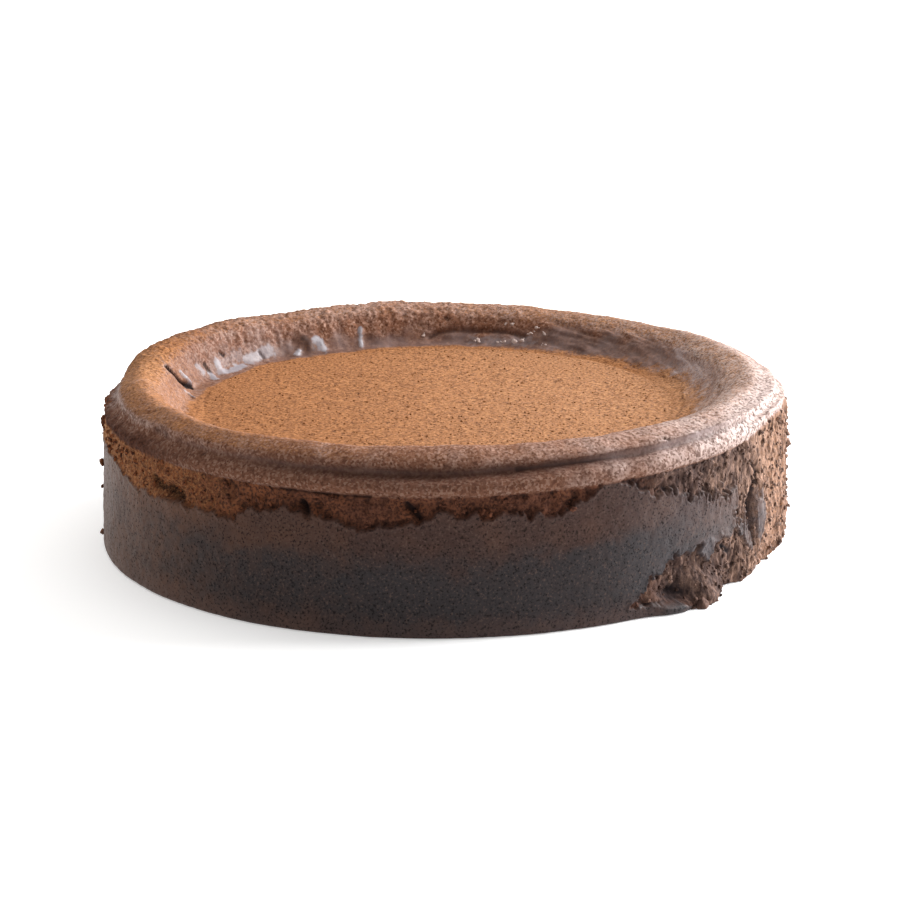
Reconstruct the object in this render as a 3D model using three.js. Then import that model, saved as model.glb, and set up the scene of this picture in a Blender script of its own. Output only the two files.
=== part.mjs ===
// A flourless chocolate cake, uncut. An upright baked side, a torn band of crumb, a crust lip with a groove
// above it, a puffed rim and a sunken middle, all one solid.
// Millimetres, +Z up. The origin is the middle of the flat base that the cake rests on.
// Angles are in degrees, anticlockwise from +X seen from above, so -90 is the front.

import * as THREE from 'three';
import { ImprovedNoise } from 'three/addons/math/ImprovedNoise.js';

// ---- Driving dimensions ----

const CAKE_RADIUS = 118.6; // a 240 mm tin, less the gap as the cake cools
const BASE_BEVEL = 1.4; // small round edge at the foot of the side
const FLOOR_HEIGHT = 44.6; // middle of the sunken top
const FLOOR_EDGE_INSET = 5; // from the foot of the rim's wall to where the floor is level
const FLOOR_RINGS = [55, 27]; // radii of the floor's rings of points
const FLOOR_WAVE = 40; // width of one soft swelling of the floor
const FLOOR_RELIEF = 0.3;
const LIP_NOSE_RISE = 1.9; // fullest point of the lip over its lower edge
const LIP_UNDERSIDE = 1.2; // the side's top row is this far below the lip
const GROOVE_OPENING = 1.3; // height of the groove between lip and rim
const DEEPEST_GROOVE = 6;
const CRUMB_SIZE = 6.5; // width of one lump of torn crumb
const CRUMB_RELIEF = 1.5;
const SCALLOP_SIZE = 7; // width of one scallop of the skin's upper edge
const SCALLOP_RISE = 1.3;
const TEAR_BAND = 2.4; // height over which skin gives way to crumb
const CRUST_WAVE = 17; // width of one swelling of the puffed rim
const CRUST_RELIEF = 0.45;

// ---- Mesh density ----

const SECTORS = 148;
const SIDE_ROWS = 12;
const DENSEST_ANGLE = -45; // the torn front corner has the closest sectors
const CROWDING = 0.34; // 0 spaces the sectors evenly

// ---- Sizes that change round the cake, as [angle, millimetres] ----

const LIP_HEIGHT = [[-170, 46.6], [-130, 47.3], [-90, 46.8], [-60, 47.6], [-36, 48.4], [-22, 51.8],
  [-10, 50.4], [12, 47], [60, 47], [130, 46.6]];
const GROOVE_HEIGHT = [[-180, 52.5], [-130, 53], [-90, 52.1], [-60, 54], [-35, 55.4], [-15, 54.6], [20, 51.6],
  [60, 51.6], [110, 52.6]];
const GROOVE_DEPTH = [[-165, 0.3], [-130, 1.6], [-90, 5.6], [-72, 5.2], [-50, 2.6], [-28, 0.8], [10, 0.5],
  [80, 3], [150, 0.5]];
const SHOULDER_INSET = [[-180, 7], [-150, 5.6], [-120, 4.8], [-90, 5.4], [-60, 4.4], [-35, 3.6], [0, 4.4],
  [20, 4.8], [50, 5.6], [90, 5.2], [160, 5.6]];
const CREST_HEIGHT = [[-180, 58.2], [-90, 58.8], [-50, 58.6], [-20, 57.8], [10, 56.9], [35, 55.9], [62, 55.9],
  [88, 57], [100, 58.1], [122, 58.1], [148, 59.6], [165, 59.8]];
const CREST_INSET = [[-180, 14.5], [-120, 13], [-90, 14.4], [-60, 13], [-30, 12], [40, 12.5], [140, 13.5]];
const WALL_FOOT_RADIUS = [[180, 88.5], [147, 92.5], [110, 88.5], [60, 87], [20, 86], [-5, 84.5], [-35, 87.5],
  [-90, 91], [-150, 90]];
// 0 is a slope.
const WALL_STEEPNESS = [[-170, 0.2], [-140, 0.15], [-105, 0.5], [-90, 0.55], [-20, 0.1], [30, 0.1], [90, 1],
  [168, 1]];
// Inwards, at the lip.
const SIDE_LEAN = [[-180, 2.2], [-140, 1.6], [-90, 0.4], [8, 0.6], [50, 0.5], [140, 1.6]];
const SKIN_TOP = [[-163, 38.5], [-146, 34.5], [-128, 34], [-115, 40.5], [-101, 36], [-88, 40.5], [-72, 39],
  [-63, 47], [-54, 39.5], [-40, 34], [-34, 22], [-28, 3], [-20, -4], [8, -4], [20, 30], [34, 38], [62, 33],
  [90, 40], [122, 35], [150, 38]];
// How far torn crumb lies behind the baked skin. Below zero it bulges out past it.
const TEAR_DEPTH = [[-180, -0.2], [-150, 0.2], [-122, 1.3], [-60, 1.3], [-36, 1.1], [-27, -0.2], [8, -0.2],
  [22, 1.2], [60, 1.3], [150, 1.3], [170, 0.2]];

// Swellings and hollows of the side: where they are, how far they reach and how far they stand out.
const SIDE_FORMS = [
  { name: 'strip of skin under the hole', angle: -52, height: 0.5, halfAngle: 3.6, halfHeight: 3, rise: 4.6 },
  { name: 'lump at the torn foot', angle: -45.6, height: 2.5, halfAngle: 4.2, halfHeight: 6.5, rise: 6.6 },
  { name: 'hollow above the lump', angle: -49.5, height: 12.5, halfAngle: 6.5, halfHeight: 6.5, rise: -2 },
  { name: 'dark hole', angle: -50.4, height: 5.6, halfAngle: 2.6, halfHeight: 2.6, rise: -5 },
  { name: 'gap beside the lump', angle: -37, height: 3, halfAngle: 2.6, halfHeight: 7, rise: -3.4 },
  { name: 'upright crack', angle: -30.8, height: 25, halfAngle: 1.3, halfHeight: 8, rise: -1.6 },
  { name: 'flap of skin', angle: -27.5, height: 21.5, halfAngle: 1.9, halfHeight: 7.5, rise: 1.4 },
  { name: 'worn foot', angle: -20.5, height: 1, halfAngle: 9, halfHeight: 7, rise: -3.4 },
  { name: 'left pit', angle: -139, height: 38, halfAngle: 3, halfHeight: 2.6, rise: -2.2 },
  { name: 'second pit', angle: -111, height: 41.5, halfAngle: 2.4, halfHeight: 2, rise: -2 },
  { name: 'front pit', angle: -94, height: 42.5, halfAngle: 2, halfHeight: 1.8, rise: -1.8 },
];

// ---- Helpers ----

const perlin = new ImprovedNoise();
const radians = THREE.MathUtils.degToRad;
const smooth = THREE.MathUtils.smoothstep;
const mix = THREE.MathUtils.lerp;

// An angle brought to the range from -180 to 180.
const turn = (angle) => THREE.MathUtils.euclideanModulo(angle + 180, 360) - 180;

// The size at an angle, eased between its neighbours in an [angle, size] list that goes all the way round.
function around(list, angle) {
  const sorted = [...list].sort((a, b) => a[0] - b[0]);
  const wanted = turn(angle);
  const above = sorted.findIndex(([at]) => at > wanted);
  const [nextAngle, nextSize] = above < 0 ? [sorted[0][0] + 360, sorted[0][1]] : sorted[above];
  const last = sorted[sorted.length - 1];
  const before = above < 0 ? sorted.length - 1 : above - 1;
  const [lastAngle, lastSize] = before < 0 ? [last[0] - 360, last[1]] : sorted[before];
  return mix(lastSize, nextSize, smooth(wanted, lastAngle, nextAngle));
}

// Soft lumps of the given width, from -1 to 1, on the cake's own surface.
function lumps(angle, radius, height, width) {
  const x = radius * Math.cos(radians(angle));
  const y = radius * Math.sin(radians(angle));
  return 1.4 * perlin.noise(x / width + 11.3, y / width + 5.7, height / width + 2.9);
}

// ---- The side ----

// How torn the side is, from 0 on baked skin to 1 on bare crumb.
function tornAt(angle, height) {
  const edge = around(SKIN_TOP, angle) + SCALLOP_RISE * lumps(angle, CAKE_RADIUS, 0, SCALLOP_SIZE);
  return smooth(height, edge - TEAR_BAND / 3, edge + (2 * TEAR_BAND) / 3);
}

function sideForms(angle, height) {
  let rise = 0;
  for (const form of SIDE_FORMS) {
    const across = turn(angle - form.angle) / form.halfAngle;
    const up = (height - form.height) / form.halfHeight;
    rise += form.rise * Math.exp(-(across ** 2) - up ** 2);
  }
  return rise;
}

function sideRadius(angle, height) {
  const lean = around(SIDE_LEAN, angle) * (height / around(LIP_HEIGHT, angle)) ** 1.5;
  const crumb = CRUMB_RELIEF * lumps(angle, CAKE_RADIUS, height, CRUMB_SIZE);
  const depth = tornAt(angle, height) * (around(TEAR_DEPTH, angle) - crumb);
  return CAKE_RADIUS - lean - depth + sideForms(angle, height);
}

function sidePoints(angle) {
  const points = [[sideRadius(angle, 0) - BASE_BEVEL, 0], [sideRadius(angle, BASE_BEVEL), BASE_BEVEL]];
  const top = around(LIP_HEIGHT, angle) - LIP_UNDERSIDE;
  for (let row = 1; row <= SIDE_ROWS; row++) {
    const height = mix(BASE_BEVEL, top, row / SIDE_ROWS);
    points.push([sideRadius(angle, height), height]);
  }
  return points;
}

// ---- The crust: lip, groove, rim and wall ----

function crustStations(angle) {
  const lip = around(LIP_HEIGHT, angle);
  const groove = around(GROOVE_HEIGHT, angle);
  const cut = around(GROOVE_DEPTH, angle);
  const inset = around(SHOULDER_INSET, angle);
  const crest = around(CREST_HEIGHT, angle);
  const foot = around(WALL_FOOT_RADIUS, angle);
  const steep = around(WALL_STEEPNESS, angle);
  const lipRadius = CAKE_RADIUS - around(SIDE_LEAN, angle);
  const crestRadius = CAKE_RADIUS - around(CREST_INSET, angle);
  const rounding = 1 - cut / DEEPEST_GROOVE; // without a groove the lip runs into the rim as one curve
  return [
    [lipRadius - 0.2, lip],
    [lipRadius + 0.1 - 0.25 * rounding, lip + LIP_NOSE_RISE],
    [lipRadius - 0.6 - 0.35 * inset * rounding, mix(lip, groove, 0.62)],
    [lipRadius - 0.6 * inset - 0.55 * cut, groove - 0.3],
    [lipRadius - 0.6 * inset - 0.5 * cut - 0.3, groove - 0.3 + GROOVE_OPENING],
    [CAKE_RADIUS - inset - 0.3, mix(groove, crest, 0.42)],
    [CAKE_RADIUS - inset - 3.2, crest - 1.3],
    [crestRadius, crest],
    [mix(foot, crestRadius, 0.62 - 0.08 * steep), crest - 3 + 1.2 * steep],
    [mix(foot, crestRadius, 0.38 - 0.12 * steep), mix(FLOOR_HEIGHT, crest, 0.42)],
    [foot + 0.6, FLOOR_HEIGHT + 1.4 - 0.3 * steep],
    [foot - FLOOR_EDGE_INSET, FLOOR_HEIGHT + 0.3],
  ];
}

function crustPoints(angle) {
  const stations = crustStations(angle);
  const bend = new THREE.CatmullRomCurve3(
    stations.map(([radius, height]) => new THREE.Vector3(radius, height, 0)), false, 'centripetal');
  const rows = 2 * (stations.length - 1);
  return bend.getPoints(rows).map(({ x: radius, y: height }) => {
    const swell = CRUST_RELIEF * lumps(angle, radius, height, CRUST_WAVE);
    return [radius + swell, height + swell];
  });
}

function floorPoints(angle) {
  return FLOOR_RINGS.map((radius) => [radius, FLOOR_HEIGHT + FLOOR_RELIEF * lumps(angle, radius, 0, FLOOR_WAVE)]);
}

// ---- The whole cake ----

// The section from the middle of the base, out and up the side, over the rim and back to the axis.
function sectionAt(angle) {
  return [[0, 0], ...sidePoints(angle), ...crustPoints(angle), ...floorPoints(angle), [0, FLOOR_HEIGHT]];
}

// A lathed cake whose every sector is then moved to the section at its own angle.
function cakeGeometry() {
  const front = sectionAt(-90).map(([radius, height]) => new THREE.Vector2(radius, height));
  const geometry = new THREE.LatheGeometry(front, SECTORS);
  geometry.deleteAttribute('normal');
  geometry.deleteAttribute('uv');
  const position = geometry.getAttribute('position');
  for (let sector = 0; sector <= SECTORS; sector++) {
    const even = (360 * (sector % SECTORS)) / SECTORS;
    const crowded = THREE.MathUtils.radToDeg(CROWDING * Math.sin(radians(even)));
    const angle = DENSEST_ANGLE + even - crowded;
    const across = Math.cos(radians(angle));
    const along = Math.sin(radians(angle));
    sectionAt(angle).forEach(([radius, height], row) => {
      position.setXYZ(sector * front.length + row, radius * across, radius * along, height);
    });
  }
  return geometry;
}

const crust = new THREE.MeshStandardMaterial({ color: 0x4a2c20, roughness: 0.8, metalness: 0 });
const cake = new THREE.Mesh(cakeGeometry(), crust);
cake.name = 'cake';

const group = new THREE.Group();
group.add(cake);

export default group;
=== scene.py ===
# %% [markdown]
# # Dressing a flourless chocolate cake
#
# The cake is one solid: an upright side that was baked against a tin, a band where the tin's paper tore the
# baked skin away, a lip of crust with a groove above it, a puffed rim, and a middle that sank as it cooled
# and was dusted with cocoa.
#
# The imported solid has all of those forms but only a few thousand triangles. This lesson builds the same cake
# again as a fine mesh, from the same sizes, so that torn crumb, crust and cocoa are real relief. Then it
# gives the mesh one material whose layers follow the relief, adds loose crumbs, and lights the cake.
#
# Everything is worked out in millimetres and turned into metres as the last thing before a mesh is made.

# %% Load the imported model
import math
import random

import bmesh
import bpy
import numpy as np
from mathutils import Matrix, Vector, noise


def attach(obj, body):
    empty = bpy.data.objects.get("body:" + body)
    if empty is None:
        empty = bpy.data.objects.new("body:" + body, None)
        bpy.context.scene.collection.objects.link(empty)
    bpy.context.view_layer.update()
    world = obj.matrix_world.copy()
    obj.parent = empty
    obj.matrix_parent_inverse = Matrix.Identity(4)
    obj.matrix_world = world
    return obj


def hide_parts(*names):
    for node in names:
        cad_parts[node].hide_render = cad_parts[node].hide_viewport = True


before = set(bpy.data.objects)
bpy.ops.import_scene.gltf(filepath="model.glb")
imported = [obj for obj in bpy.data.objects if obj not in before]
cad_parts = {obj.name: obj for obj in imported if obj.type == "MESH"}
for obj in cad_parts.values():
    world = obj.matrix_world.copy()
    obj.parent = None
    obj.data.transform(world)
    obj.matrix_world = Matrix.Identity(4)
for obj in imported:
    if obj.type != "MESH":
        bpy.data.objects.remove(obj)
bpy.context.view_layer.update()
MM = 0.001

# %% [markdown]
# ## The camera
#
# The photograph was taken from about a metre away, looking down by some fifteen degrees, with a long lens, so
# the cake's back is hardly smaller than its front. Its lens and place were found by matching the cake's
# outline. A roll of half a degree is the camera's, not the cake's.

# %% The camera
PHOTO_WIDTH = 900  # pixels
FOCAL_LENGTH_IN_PIXELS = 3000
SENSOR_WIDTH = 36
LOOK_DOWN = 15.62  # degrees
ROLL = 0.55
CAMERA_PLACE = Vector((2.5, -1007.7, 310.3))
FARTHEST_SEEN = 20  # metres


def make_camera():
    data = bpy.data.cameras.new("photo_camera")
    data.sensor_width = SENSOR_WIDTH
    data.lens = SENSOR_WIDTH * FOCAL_LENGTH_IN_PIXELS / PHOTO_WIDTH
    data.clip_end = FARTHEST_SEEN
    camera = bpy.data.objects.new("photo_camera", data)
    bpy.context.collection.objects.link(camera)
    look, roll = math.radians(90 - LOOK_DOWN), math.radians(-ROLL)
    tilt = Matrix.Rotation(look, 4, "X") @ Matrix.Rotation(roll, 4, "Z")
    camera.matrix_world = Matrix.Translation(CAMERA_PLACE * MM) @ tilt
    bpy.context.scene.camera = camera
    return camera


camera = make_camera()
print("camera with a", round(camera.data.lens), "mm lens")

# %% [markdown]
# ## Sizes that change round the cake
#
# A home-baked cake isn't a turned shape. Its crest is higher at the left back, its groove is deep only at
# the front, and its skin is torn away at the right. Each of those sizes is a short list of angles and
# millimetres, eased from one to the next. Angles run anticlockwise from the cake's right, so -90 is the
# front. These are the solid's own sizes, repeated here so that the fine surface lies on it.

# %% The cake's sizes
CAKE_RADIUS = 118.6
BASE_BEVEL = 1.4
FLOOR_HEIGHT = 44.6
FLOOR_EDGE_INSET = 5
LIP_NOSE_RISE = 1.9
GROOVE_OPENING = 1.3
DEEPEST_GROOVE = 6

LIP_HEIGHT = [[-170, 46.6], [-130, 47.3], [-90, 46.8], [-60, 47.6], [-36, 48.4], [-22, 51.8], [-10, 50.4],
              [12, 47], [60, 47], [130, 46.6]]
GROOVE_HEIGHT = [[-180, 52.5], [-130, 53], [-90, 52.1], [-60, 54], [-35, 55.4], [-15, 54.6], [20, 51.6],
                 [60, 51.6], [110, 52.6]]
GROOVE_DEPTH = [[-165, 0.3], [-130, 1.6], [-90, 5.6], [-72, 5.2], [-50, 2.6], [-28, 0.8], [10, 0.5],
                [80, 3], [150, 0.5]]
SHOULDER_INSET = [[-180, 7], [-150, 5.6], [-120, 4.8], [-90, 5.4], [-60, 4.4], [-35, 3.6], [0, 4.4],
                  [20, 4.8], [50, 5.6], [90, 5.2], [160, 5.6]]
CREST_HEIGHT = [[-180, 58.2], [-90, 58.8], [-50, 58.6], [-20, 57.8], [10, 56.9], [35, 55.9], [62, 55.9],
                [88, 57], [100, 58.1], [122, 58.1], [148, 59.6], [165, 59.8]]
CREST_INSET = [[-180, 14.5], [-120, 13], [-90, 14.4], [-60, 13], [-30, 12], [40, 12.5], [140, 13.5]]
WALL_FOOT_RADIUS = [[180, 88.5], [147, 92.5], [110, 88.5], [60, 87], [20, 86], [-5, 84.5], [-35, 87.5],
                    [-90, 91], [-150, 90]]
WALL_STEEPNESS = [[-170, 0.2], [-140, 0.15], [-105, 0.5], [-90, 0.55], [-20, 0.1], [30, 0.1], [90, 1],
                  [168, 1]]
SIDE_LEAN = [[-180, 2.2], [-140, 1.6], [-90, 0.4], [8, 0.6], [50, 0.5], [140, 1.6]]
SKIN_TOP = [[-163, 38.5], [-146, 34.5], [-128, 34], [-115, 40.5], [-101, 36], [-88, 40.5], [-72, 39],
            [-63, 47], [-54, 39.5], [-40, 34], [-34, 22], [-28, 3], [-20, -4], [8, -4], [20, 30],
            [34, 38], [62, 33], [90, 40], [122, 35], [150, 38]]
TEAR_DEPTH = [[-180, -0.2], [-150, 0.2], [-122, 1.3], [-60, 1.3], [-36, 1.1], [-27, -0.2], [8, -0.2],
              [22, 1.2], [60, 1.3], [150, 1.3], [170, 0.2]]

print("the cake is", 2 * CAKE_RADIUS, "mm across")


# %% Easing between sizes
def smooth(value, low, high):
    """0 below low, 1 above high and an eased slope between them."""
    share = np.clip((value - low) / (high - low), 0, 1)
    return share * share * (3 - 2 * share)


def window(value, rise, fall):
    """1 between two slopes and 0 outside them; each slope is given by its two ends."""
    return smooth(value, *rise) * (1 - smooth(value, *fall))


def mix(a, b, share):
    return a + (b - a) * share


def turn(angle):
    """The angle brought to the range from -180 to 180."""
    return (angle + 180) % 360 - 180


def around(sizes, angle):
    """The size at each angle, eased between its neighbours in a list that goes all the way round."""
    pairs = sorted(sizes)
    at = np.array([pairs[-1][0] - 360] + [pair[0] for pair in pairs] + [pairs[0][0] + 360], float)
    size = np.array([pairs[-1][1]] + [pair[1] for pair in pairs] + [pairs[0][1]], float)
    wanted = turn(angle)
    above = np.clip(np.searchsorted(at, wanted, side="right"), 1, len(at) - 1)
    return mix(size[above - 1], size[above], smooth(wanted, at[above - 1], at[above]))


print("crest at the front:", around(CREST_HEIGHT, np.array([-90.0])), "mm")

# %% [markdown]
# ## Uneven surfaces from noise
#
# Crumb and crust are uneven at many sizes at once: lumps as wide as a fingertip, grains under a millimetre.
# Blender's own noise module gives soft lumps and pebble shapes at any point in space. Because the noise is
# read at a point of space, it has no seam and no stretching, wherever the mesh's rows and columns run.

# %% Noise helpers
PEBBLE_AVERAGE = 0.6


def sample_points(places, size, tall=1.0, shift=0.0):
    """Places in noise space, where one unit is one lump; tall stretches the lumps upwards."""
    scaled = places / np.array([size, size, size * tall]) + shift
    return scaled.reshape(-1, 3).tolist()


def lumps(places, size, octaves=1, tall=1.0, shift=0.0):
    """Soft lumps of one size, from about -1 to 1; each octave adds lumps half as wide and half as high."""
    values = (noise.fractal(point, 1.0, 2.0, octaves) for point in sample_points(places, size, tall, shift))
    return 1.4 * np.fromiter(values, float, places.size // 3).reshape(places.shape[:-1])


def pebbles(places, size, tall=1.0, shift=0.0):
    """Rounded grains packed side by side: 1 on the middle of a grain and about 0 in the gaps."""
    points = sample_points(places, size, tall, shift)
    gaps = np.fromiter((noise.voronoi(point)[0][0] for point in points), float, len(points))
    return (1 - np.clip(gaps * 1.3, 0, 1) ** 2).reshape(places.shape[:-1])


def pebbled(places, size, tall=1.0, shift=0.0):
    """Pebbles as relief, which lies as much below the plain surface as above it."""
    return pebbles(places, size, tall, shift) - PEBBLE_AVERAGE


print("three soft lumps a millimetre apart:", lumps(np.eye(3), 2.0).round(2))

# %% [markdown]
# ## The section of the cake
#
# A cake from a round tin is made like a lathe part: a section that runs from the middle of the base, out and
# up the side, over the rim and back to the axis. Here the section is a little different at every angle. A
# spin or a Screw modifier can't do that, so the rows and columns are laid out as one large grid of numbers.
#
# The crust's section goes through a dozen stations, from the lip's lower edge to the level floor, and a
# smooth curve bends through them.

# %% Columns round the cake
COLUMNS = 1344  # halved six times on the way to the middle, so it is a multiple of 64
DENSEST_ANGLE = -45
CROWDING = 0.25  # 0 spaces the columns evenly

even_turns = 2 * np.pi * np.arange(COLUMNS) / COLUMNS
angles = turn(DENSEST_ANGLE + np.degrees(even_turns - CROWDING * np.sin(even_turns)))
cosines, sines = np.cos(np.radians(angles)), np.sin(np.radians(angles))
closest = 2 * math.pi * CAKE_RADIUS * (1 - CROWDING) / COLUMNS
print(COLUMNS, "columns,", round(closest, 2), "mm apart at the closest")


# %% The crust's section
def crust_stations(angle):
    """Radius and height of every station at each angle, as an array of angles, stations and two numbers."""
    lip, groove = around(LIP_HEIGHT, angle), around(GROOVE_HEIGHT, angle)
    cut, inset = around(GROOVE_DEPTH, angle), around(SHOULDER_INSET, angle)
    crest, foot = around(CREST_HEIGHT, angle), around(WALL_FOOT_RADIUS, angle)
    steep = around(WALL_STEEPNESS, angle)
    lip_radius = CAKE_RADIUS - around(SIDE_LEAN, angle)
    crest_radius = CAKE_RADIUS - around(CREST_INSET, angle)
    rounding = 1 - cut / DEEPEST_GROOVE
    stations = [
        (lip_radius - 0.2, lip),
        (lip_radius + 0.1 - 0.25 * rounding, lip + LIP_NOSE_RISE),
        (lip_radius - 0.6 - 0.35 * inset * rounding, mix(lip, groove, 0.62)),
        (lip_radius - 0.6 * inset - 0.55 * cut, groove - 0.3),
        (lip_radius - 0.6 * inset - 0.5 * cut - 0.3, groove - 0.3 + GROOVE_OPENING),
        (CAKE_RADIUS - inset - 0.3, mix(groove, crest, 0.42)),
        (CAKE_RADIUS - inset - 3.2, crest - 1.3),
        (crest_radius, crest),
        (mix(foot, crest_radius, 0.62 - 0.08 * steep), crest - 3 + 1.2 * steep),
        (mix(foot, crest_radius, 0.38 - 0.12 * steep), mix(FLOOR_HEIGHT, crest, 0.42)),
        (foot + 0.6, FLOOR_HEIGHT + 1.4 - 0.3 * steep),
        (foot - FLOOR_EDGE_INSET, FLOOR_HEIGHT + 0.3 + 0 * angle),
    ]
    return np.stack([np.stack(station, -1) for station in stations], 1)


def bend_through(points, at):
    """A centripetal curve through each angle's stations, read at the given places along it.

    The places count in stations, so 7.5 is halfway between the crest and the next station.
    """
    last = points.shape[1] - 1
    here = np.clip(at.astype(int), 0, last - 1)
    share = (at - here)[:, None]
    b, c = points[:, here], points[:, here + 1]
    a = np.where((here > 0)[:, None], points[:, np.maximum(here - 1, 0)], 2 * b - c)
    d = np.where((here < last - 1)[:, None], points[:, np.minimum(here + 2, last)], 2 * c - b)
    ab, bc, cd = (((q - p) ** 2).sum(-1, keepdims=True) ** 0.25 for p, q in ((a, b), (b, c), (c, d)))
    start = ((b - a) / ab - (c - a) / (ab + bc) + (c - b) / bc) * bc
    end = ((c - b) / bc - (d - b) / (bc + cd) + (d - c) / cd) * bc
    cubic = 2 * (b - c) + start + end
    square = 3 * (c - b) - 2 * start - end
    return b + start * share + square * share**2 + cubic * share**3


def crust_place(angle, station):
    """The point in space at one angle and one place along the crust's section."""
    radius, height = bend_through(crust_stations(np.array([float(angle)])), np.array([float(station)]))[0, 0]
    return np.array([radius * math.cos(math.radians(angle)), radius * math.sin(math.radians(angle)), height])


print("crest of the front rim:", crust_place(-90, 7).round(1))

# %% [markdown]
# ## Rows from the base to the middle of the floor
#
# Rows lie about half a millimetre apart wherever there is something to see, which is finer than the crumb.
# The underside needs only a few. Each row remembers what it belongs to, so that later steps can ask for
# "the side" or "the crust" by name.

# %% Rows of the section
BASE_SHARES = [0.3, 0.55, 0.75, 0.88, 0.96]
BEVEL_ROWS = 4
SIDE_SPACING = 0.5
CRUST_SPACING = 0.5
FLOOR_SPACING = 0.8
LIP_UNDERSIDE = 1.2  # the side's last row is this far below the lip
CURVE_SAMPLES = 441  # places at which the average section is measured
SAMPLED_COLUMN = 16  # every sixteenth column counts for that average

lip_height = around(LIP_HEIGHT, angles)
side_rows = round((lip_height.mean() - LIP_UNDERSIDE - BASE_BEVEL) / SIDE_SPACING)
side_radius = CAKE_RADIUS + 0 * angles
stations = crust_stations(angles)


def crust_row_places():
    """Places along the crust's section that lie evenly apart at the average angle."""
    fine = np.linspace(0, stations.shape[1] - 1, CURVE_SAMPLES)
    curve = bend_through(stations[::SAMPLED_COLUMN], fine).mean(0)
    run = np.concatenate([[0], np.cumsum(np.hypot(*np.diff(curve, axis=0).T))])
    return np.interp(np.linspace(0, run[-1], round(run[-1] / CRUST_SPACING)), run, fine)


crust_at = crust_row_places()
rows = []  # each is (band, place in the band, radius at every angle, height at every angle)
for share in BASE_SHARES:
    rows.append(("base", share, share * (side_radius - BASE_BEVEL), 0 * angles))
for step in range(BEVEL_ROWS + 1):
    bend = math.pi / 2 * step / BEVEL_ROWS
    rows.append(("bevel", step, side_radius - BASE_BEVEL * (1 - math.sin(bend)),
                 BASE_BEVEL * (1 - math.cos(bend)) + 0 * angles))
for row in range(1, side_rows + 1):
    height = mix(BASE_BEVEL, lip_height - LIP_UNDERSIDE, row / side_rows)
    lean = around(SIDE_LEAN, angles) * (height / lip_height) ** 1.5
    rows.append(("side", row, side_radius - lean, height))
crust_curve = bend_through(stations, crust_at)
for row, place in enumerate(crust_at):
    rows.append(("crust", place, crust_curve[:, row, 0], crust_curve[:, row, 1]))
floor_edge = stations[:, -1, 0]
floor_rows = round(floor_edge.mean() / FLOOR_SPACING)
for row in range(1, floor_rows):
    share = 1 - row / floor_rows
    rows.append(("floor", share, floor_edge * share, mix(FLOOR_HEIGHT, stations[:, -1, 1], share**2)))
print("rows on the side, crust and floor:", side_rows, len(crust_at), floor_rows - 1)

# %% The plain grid
bands = np.array([row[0] for row in rows])
row_place = np.array([row[1] for row in rows], float)
radii = np.stack([row[2] for row in rows])
heights = np.stack([row[3] for row in rows])
angle_grid = np.broadcast_to(angles, radii.shape)
places = np.stack([radii * cosines, radii * sines, heights], -1)


def outward(grid):
    """The direction out of the cake at every point of a grid, from its neighbours up, down and around."""
    along = np.gradient(grid, axis=0)
    across = np.roll(grid, -1, axis=1) - np.roll(grid, 1, axis=1)
    out = np.cross(across, along)
    return out / np.maximum(np.linalg.norm(out, axis=-1, keepdims=True), 1e-9)


outwards = outward(places)
side = np.isin(bands, ["bevel", "side"])
crust = bands == "crust"
floor = bands == "floor"
print("a grid of", *places.shape[:2], "rows and columns")

# %% [markdown]
# ## Where the side is skin, torn crumb or crust
#
# The tin's paper takes the baked skin with it in places. What is left has a scalloped upper edge, frays into
# upright threads at the right, and is missing in a hollow near the foot. A mask holds, for every point of the
# side, how much of that point is bare crumb: 0 is skin and 1 is crumb.

# %% Torn parts of the side
SCALLOP = 7  # width of a scallop of the skin's edge
FRAY = 1.5  # width of a thread where the skin frays
FOOT_TEAR_TOP = [[-180, -9], [-64, -9], [-59, 6], [-55, 13], [-50, 18], [-42, 18.5], [-36, 20], [-31, 12],
                 [-26, -9]]
FOOT_STRIP = [[-180, 5], [-60, 4.5], [-52, 3.6], [-47, 0], [-43, -6], [-26, -6]]
# Scraps of skin that still hold in the torn part: angle, height, half width and half height.
SKIN_SCRAPS = {
    "scrap over the hollow": (-43.5, 17.5, 4, 3.5),
    "flap": (-27.9, 21, 3.6, 8),
    "scrap beside the crack": (-36.5, 31, 2.2, 4),
    "scrap at the far side": (14, 22, 5, 5),
}

side_places = places[side]
side_angle, side_height = angle_grid[side], heights[side]


def from_middle(angle, height, half_width, half_height):
    """How far each point of the side is from an oval's middle, where 1 is the oval's edge."""
    across = turn(side_angle - angle) * math.radians(CAKE_RADIUS) / half_width
    return np.hypot(across, (side_height - height) / half_height)


ring = CAKE_RADIUS * np.stack([cosines, sines, 0 * angles], -1)
fray = window(angles, (-62, -40), (30, 50)) + 0.4 * smooth(angles, 60, 90)  # 1 where the edge frays

skin_edge = around(SKIN_TOP, angles) + 1.5 * lumps(ring, SCALLOP, shift=4.2)
skin_edge += lumps(ring, 2.6, octaves=2)
threads = lumps(side_places, FRAY, octaves=2, tall=7)
ragged = lumps(side_places, 3.4, octaves=3, shift=7.7)
above_edge = side_height - skin_edge + ragged * mix(0.9, 2.2, fray) + 4.5 * fray * threads
foot_top, foot_strip = around(FOOT_TEAR_TOP, angles), around(FOOT_STRIP, angles)
in_foot_tear = np.minimum(foot_top - side_height, side_height - foot_strip)
in_foot_tear += (1.8 * ragged + 0.6 * threads) * smooth(side_height, -2, 8)
bare = np.maximum(above_edge, in_foot_tear)
for scrap in SKIN_SCRAPS.values():
    bare = np.minimum(bare, 3 * (from_middle(*scrap) - 1) + 1.3 * ragged + threads)
torn = smooth(bare, -0.2, 0.45)
print("bare crumb on", round(100 * torn.mean()), "% of the side")

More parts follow.
